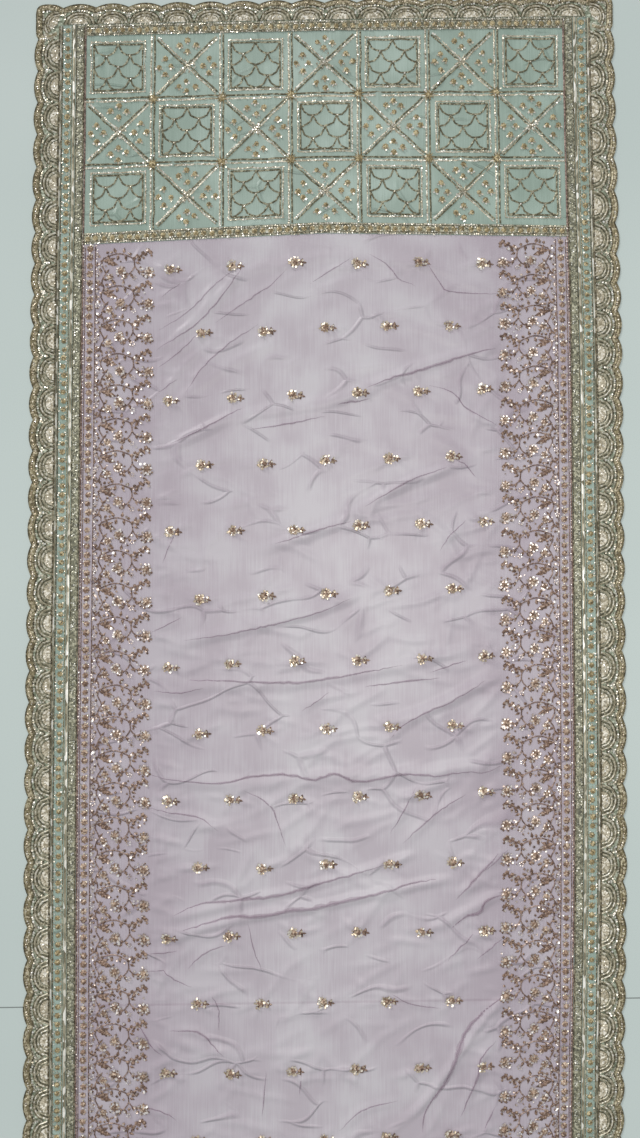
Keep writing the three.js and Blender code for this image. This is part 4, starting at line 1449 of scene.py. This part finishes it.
# %% One vine motif
VINE_STEP = 7.0
BRANCH = [(139, -30), (148.6, -34), (160, -37.5), (172.5, -37.5), (184, -33), (196, -26.5), (198, -12)]
TO_LARGE_FLOWER = [(198, -12), (204, -3.5), (213, 0.5), (222, 0)]
CURL_TO_SMALLER = [(198, -12), (193, -3), (184, 4.5), (176, 2.5), (172, -3)]
SPRAY = [(196, -26.5), (206, -31), (216, -35), (226, -39.5)]
STEM = [(139, -31.7), (134.5, -20), (138.5, -10), (143, -1), (137, 8), (135.5, 18), (139.5, 26), (139, 31.7)]
TWIG = [(123.5, 26), (130, 21), (136, 14)]
LEAVES = [  # x, y, turn, length, width
    (162, -39, -1.9, 10, 5.4), (177, -38, -1.4, 10, 5.4), (167, -36, 1.8, 10, 5), (181, -34, 1.5, 10, 5),
    (200, -20, 0.4, 9, 4.6), (206, -31, 1.2, 9, 4.6), (205, -5, 1.3, 9, 4.8), (190, 1, 1.1, 10, 5),
    (137, 8, 0.6, 9, 4.4), (135.5, 18, 2.6, 9, 4.2), (143, -1, -0.9, 9, 4.4), (130, 21, -2.2, 9, 4.2),
    (211, 3, -0.9, 8, 4.4), (184, 5, 2.2, 8, 4.6), (126, -14, -1.5, 9, 4), (150, -33, 2.0, 8, 4),
]
CLUSTER = [  # overlapping wound leaves beside the stem
    (137, -26, 0.1, 15, 7), (144, -24, 0.5, 14, 7.5), (150, -21, 0.3, 15, 8.5), (149, -25, -0.4, 11, 6.5),
]
BEADS = [  # x, y, diameter of small wound knots along the spray and the branches
    (203, -32, 7), (209, -30.5, 7), (214, -37, 8), (219, -34, 7.5), (224, -41, 9), (229, -37, 8),
    (197, -27, 7.5), (206, -24, 6), (160, -44, 6.5), (190, -36, 6), (146, -41, 6), (132, -9, 5.5),
    (137, 22, 5.5), (176, 8, 6), (128, 3, 5), (166, -29, 6), (181, -30, 6),
]
LOOSE_SEQUINS = [
    (151.6, -43), (131, -12), (128, -36), (126.5, 4), (145, -36), (163, -33), (187, -38), (202, -28),
    (213, -29), (221, -43), (228, -33), (208, -6), (213, 5), (178, 7), (181, -0.5), (167, -9), (175, -12),
    (216, -8), (220, 9), (232, -7), (233, 5), (148, 1), (153, 12), (128, 30), (132, -27), (160, -17),
    (229, 8), (223, -8), (176, 4), (165, 1), (127, 12), (130, -20),
]
LOOSE_SEQUINS_KEPT = 0.78
LEAF_GROWTH = 1.2
BEAD_GROWTH = 1.1


def sequin_ring(diameter, count, radius):
    """A ring of sequins, drawn as one shape so that it leans and turns as one."""
    return together(*[moved(sequin(diameter), *point[:2]) for point in round_points(count, radius)])


flower_ring = sequin_ring(4.6, 7, 7.6)
bud_ring = sequin_ring(4.0, 5, 6.2)
small_ring = sequin_ring(3.4, 5, 3.6)
stems = together(*[
    cord(smooth_path(path, VINE_STEP), 2.6, 1.3)
    for path in (BRANCH, TO_LARGE_FLOWER, CURL_TO_SMALLER, SPRAY, STEM, TWIG)
])
leaves = together(
    *[moved(leaf(LEAF_GROWTH * length, LEAF_GROWTH * width, 1.3), x, y, turn)
      for x, y, turn, length, width in LEAVES + CLUSTER],
    *[moved(flower_head(BEAD_GROWTH * size, 5, 1.6), x, y) for x, y, size in BEADS],
)
large_flower = together(flower_head(20.5, 8, 1.8), moved(flower_head(12, 6, 2.2), z=0.9, turn=0.3))
smaller_flower = together(flower_head(20, 8, 1.7), moved(flower_head(11.5, 5, 2.0), z=0.9, turn=0.5))
knots = together(*[moved(flower_head(5.4, 4, 1.4), x + 2.4, y + 2.0) for x, y in LOOSE_SEQUINS[::2]])
bud = together(
    flower_head(16.0, 7, 1.8), moved(flower_head(8, 4, 1.6), z=0.9), moved(leaf(10, 6, 1.2), 4, 6, 0.9)
)
flowers = together(moved(large_flower, 226, 0), moved(smaller_flower, 171.5, -4.5), moved(bud, 150.5, 6.5))
print("triangles in one motif:", sum(len(part[1]) for part in (stems, leaves, flowers)))

# %% [markdown]
# The motifs follow one another at one pitch, with small slips of place, turn and size, so that no two catch
# the light alike. Each thread is gathered in a heap of its own and laid at its own height: stems lowest,
# then leaves, flowers, and the rings of sequins on top. Between them the net is sprinkled with tiny knots
# and sequins, thickest towards the border.

# %% Vines down both sides
VINE_OUTER, VINE_WIDTH = 126, 108  # in from the tips, where the sprinkling begins and how far it spreads
SPRINKLED = (("leaves", flower_head(5.4, 4, 1.3), 15), ("sequins", sequin(4.2), 9))  # layer, shape, per motif
RINGS = (  # in from the tips, along, ring
    (226, 0, flower_ring), (171.5, -4.5, flower_ring), (198, 10, small_ring), (129, -3, small_ring),
    (151, 6.5, bud_ring),
)
for side, where in SIDES_BY_NAME:
    spots = np.arange(FIRST_MOTIF[side], LENGTH - 25, VINE_PITCH)
    at = np.column_stack([np.full(len(spots), side * HALF_WIDTH), spots])
    at = at + rng.normal(0, 0.8, at.shape)
    turn = rng.normal(0, 0.008, len(at))
    heaps = {"stems": Heap(), "leaves": Heap(), "flowers": Heap(), "sequins": Heap()}
    heaps["stems"].add(stems, at, turn=turn, mirror=-side, lift=0.2)
    heaps["leaves"].add(together(leaves, knots), at, turn=turn, mirror=-side, lift=0.4)
    heaps["flowers"].add(flowers, at, turn=turn, mirror=-side, lift=0.5)
    for x, y in LOOSE_SEQUINS:
        shown = rng.random(len(at)) < LOOSE_SEQUINS_KEPT
        spot = at[shown] + (-side * x, y) + rng.normal(0, 1.2, (shown.sum(), 2))
        heaps["sequins"].add(sequin(4.7), spot, lift=0.9, tilt=0.34, scale=rng.uniform(0.75, 1.3, len(spot)))
    for kind, shape, per_motif in SPRINKLED:
        count = per_motif * len(at)
        inward = VINE_OUTER + VINE_WIDTH * rng.beta(1.0, 1.35, count)
        along = rng.uniform(at[0, 1] - 25, at[-1, 1] + 20, count)
        spot = np.column_stack([side * (HALF_WIDTH - inward), along])
        heaps[kind].add(shape, spot, lift=0.5, tilt=0.3, scale=rng.uniform(0.7, 1.2, count))
    for x, y, ring in RINGS:
        heaps["sequins"].add(ring, at + (-side * x, y), turn=rng.uniform(0, FULL_TURN, len(at)), lift=1.3,
                             tilt=0.12, scale=rng.uniform(0.85, 1.1, len(at)))
    materials = {"stems": rose_cord, "leaves": vine_leaf, "flowers": gold_flower, "sequins": rose_sequin}
    parts = [heap.build(f"vine_{where}_{kind}", materials[kind]) for kind, heap in heaps.items()]
    join(parts, f"vine_{where}_embroidery")

# %% [markdown]
# ## The butis
# Each buti on the open field is a gold flower in a ring of sequins, with a round leafy bud on a stem at its
# right. The rows are staggered by half a pitch, six flowers and five by turns. The parts of a buti differ
# in thread, so each is a heap of its own, laid where the wrinkles fan out from.

# %% Butis
BUTI_RING = 8.7
ON_BUTI = [(-3.5, -3), (-1, 3.5), (-4, 1), (13, 3.5), (15.5, -3)]  # sequins on the flower and the bud
BUTI_SEQUINS_KEPT = 0.85
BUD_AT = (14.5, 0.5)
buti_stem = cord(smooth_path([(4, 2), (9, 4.5), (15, 1.5)], 4), 2.2, 1.2)
buti_gold = together(flower_head(17.5, 8, 2.0), moved(flower_head(9.5, 6, 2.0), z=1.2, turn=0.4))
buti_bud = together(
    flower_head(11, 7, 1.8), moved(leaf(6.5, 4.6, 1.3), 3.5, 0.5, 0.15),
    moved(leaf(4.5, 4.2, 1.2), 1, -3.5, -1.4), moved(leaf(4.5, 4.2, 1.2), 1, 3.5, 1.2),
    moved(flower_head(5, 4, 1.4), z=1.4),
)
ring_turns = np.linspace(0.5, 2 * math.pi - 0.4, 10)
buti_ring = [(BUTI_RING * math.cos(t), BUTI_RING * math.sin(t)) for t in ring_turns]
buti_turn = rng.normal(0.05, 0.16, len(butis))
stem_heap, gold_heap, bud_heap, ring_heap = Heap(), Heap(), Heap(), Heap()
stem_heap.add(buti_stem, butis, turn=buti_turn, lift=0.4)
gold_heap.add(buti_gold, butis, turn=buti_turn, lift=0.5, scale=rng.uniform(0.92, 1.1, len(butis)))
bud_heap.add(buti_bud, butis + BUD_AT, turn=buti_turn, lift=0.5, scale=rng.uniform(0.85, 1.1, len(butis)))
for x, y in [*buti_ring, *ON_BUTI]:
    shown = rng.random(len(butis)) < BUTI_SEQUINS_KEPT
    spot = butis[shown] + (x, y) + rng.normal(0, 0.7, (shown.sum(), 2))
    ring_heap.add(sequin(4.8), spot, lift=1.6, tilt=0.34, scale=rng.uniform(0.8, 1.2, len(spot)))
buti_work = join(
    [
        stem_heap.build("buti_stems", rose_cord),
        gold_heap.build("buti_flowers", gold_flower),
        bud_heap.build("buti_buds", vine_leaf),
        ring_heap.build("buti_sequins", gold_sequin),
    ],
    "field_buti_embroidery",
)

# %% [markdown]

# %% [markdown]
# ## Floor, light and camera
# The saree lies on a plain pale laminate floor of wide boards, of which one joint passes under it. Laminate
# is printed paper under a matt clear layer, and gives the eye one even pale tone with hardly a highlight.
# The joint is a thin dark strip on the floor rather than a groove, and under the cloth it is wider and
# darker still, a painted shadow of the cloth over it, so that some of it comes through the net.

# %% Floor
FLOOR_HALF = 14.0
JOINT_AT, JOINT_SLOPE, JOINT_WIDTH = 0.836, 0.0149, 0.0022
# The joint under the cloth, painted darker as a shadow of the cloth over it, is drawn wider too.
COVERED_JOINT_WIDTH = 1.8 * JOINT_WIDTH
JOINT_LIFT = 0.00005
floor_material, tree, output = new_material("laminate_floor_matt_pale_grey")
floor_coordinates = add_node(tree, "ShaderNodeTexCoord").outputs["Object"]
mottle = add_node(tree, "ShaderNodeTexNoise", None, {"Vector": floor_coordinates}, Scale=1.5, Detail=2.0)
floor_tint = ramp(tree, mottle.outputs["Fac"], (0.3, "#bcc8c5"), (0.7, "#c3cecb"))
floor_bsdf = add_node(tree, "ShaderNodeBsdfPrincipled", None, {"Base Color": floor_tint})
finish_surface(tree, output, floor_bsdf, Roughness=0.6, IOR=1.5)


def shadow_material(name, colour):
    """The dark of a gap between boards, which no light reaches."""
    material, tree, output = new_material(name)
    bsdf = add_node(tree, "ShaderNodeBsdfPrincipled")
    finish_surface(tree, output, bsdf, Base_Color=linear(colour), Roughness=0.9)
    return material


joint_material = shadow_material("floor_joint_shadow_grey", "#7d8482")
# Under the cloth the joint is painted much darker: a painted shadow of the cloth over it.
joint_in_painted_shadow = shadow_material("floor_joint_painted_cloth_shadow", "#262b29")


def floor_piece(name, corners, z, material):
    corners = [(x, y, z) for x, y in corners]
    mesh = bpy.data.meshes.new(name)
    mesh.from_pydata(corners, [], [(0, 1, 2, 3)])
    mesh.materials.append(material)
    obj = bpy.data.objects.new(name, mesh)
    bpy.context.scene.collection.objects.link(obj)


floor_piece("floor", [(x * FLOOR_HALF, y * FLOOR_HALF) for x, y in ((-1, -1), (1, -1), (1, 1), (-1, 1))],
            0.0, floor_material)
for name, half, width, lift, material in (
    ("floor_joint", FLOOR_HALF, JOINT_WIDTH, JOINT_LIFT, joint_material),
    ("floor_joint_under_cloth", FIELD_EDGE * MM, COVERED_JOINT_WIDTH, 2 * JOINT_LIFT, joint_in_painted_shadow),
):
    round_the_strip = ((-half, 0), (half, 0), (half, 1), (-half, 1))
    corners = [(x, JOINT_AT + JOINT_SLOPE * x + up * width) for x, up in round_the_strip]
    floor_piece(name, corners, lift, material)
print("floor joint at the midline, m:", JOINT_AT)

# %% [markdown]
# The light is that of a bright room by day: soft all round, with a low daylight from one far window side
# that is as strong at both edges of the cloth, so it is a wide sun lamp, not a near area lamp. It grazes
# the folds and picks them out. A weak round lamp overhead brightens the middle.

# %% Lights
SHOWN_MIDDLE = (0.0, 1.68, 0.0)
ROOM_LIGHT = 0.57
DAYLIGHT_DISTANCE = 6
DAYLIGHT_ELEVATION = math.radians(25)
DAYLIGHT_HEADING = math.radians(128)  # the light comes from the pallu end, to the left


def add_light(name, kind, place, colour, energy, **settings):
    lamp = bpy.data.lights.new(name, kind)
    lamp.energy = energy
    lamp.color = linear(colour)[:3]
    for key, value in settings.items():
        setattr(lamp, key, value)
    obj = bpy.data.objects.new(name, lamp)
    obj.location = place
    obj.rotation_euler = (Vector(SHOWN_MIDDLE) - Vector(place)).to_track_quat("-Z", "Y").to_euler()
    bpy.context.scene.collection.objects.link(obj)


daylight_place = Vector(SHOWN_MIDDLE) + DAYLIGHT_DISTANCE * Vector((
    math.cos(DAYLIGHT_ELEVATION) * math.cos(DAYLIGHT_HEADING),
    math.cos(DAYLIGHT_ELEVATION) * math.sin(DAYLIGHT_HEADING),
    math.sin(DAYLIGHT_ELEVATION),
))
add_light("daylight", "SUN", daylight_place, "#fffdfb", 1.4, angle=math.radians(12))
add_light("overhead", "AREA", (0.3, 1.6, 2.6), "#fffaf5", 24, shape="DISK", size=1.2)
world = bpy.data.worlds.new("soft_room")
world.use_nodes = True
background = world.node_tree.nodes["Background"]
background.inputs["Color"].default_value = linear("#eef2f4")
background.inputs["Strength"].default_value = ROOM_LIGHT
bpy.context.scene.world = world
bpy.context.scene.view_settings.view_transform = "Standard"
print("daylight comes from, m:", [round(value, 2) for value in daylight_place])

# %% [markdown]
# The camera looks almost straight down at the pallu end, from about 1.6 m, a little nearer the far side,
# and sees 2.15 m of the cloth. A phone's main lens is like a 26 mm one.

# %% Camera
CAMERA_LENS = 26
SENSOR_WIDTH = 36
CAMERA_DISTANCE = 1.56
CAMERA_ELEVATION = math.radians(88.6)
LOOK_AT = Vector((-0.011, 1.650, 0.0))
camera_data = bpy.data.cameras.new("camera")
camera_data.lens, camera_data.sensor_width = CAMERA_LENS, SENSOR_WIDTH
camera = bpy.data.objects.new("camera", camera_data)
back = Vector((0, -math.cos(CAMERA_ELEVATION), math.sin(CAMERA_ELEVATION)))
camera.location = LOOK_AT + back * CAMERA_DISTANCE
camera.rotation_euler = (-back).to_track_quat("-Z", "Y").to_euler()
bpy.context.scene.collection.objects.link(camera)
bpy.context.scene.camera = camera
print("camera height, m:", round(camera.location.z, 3))
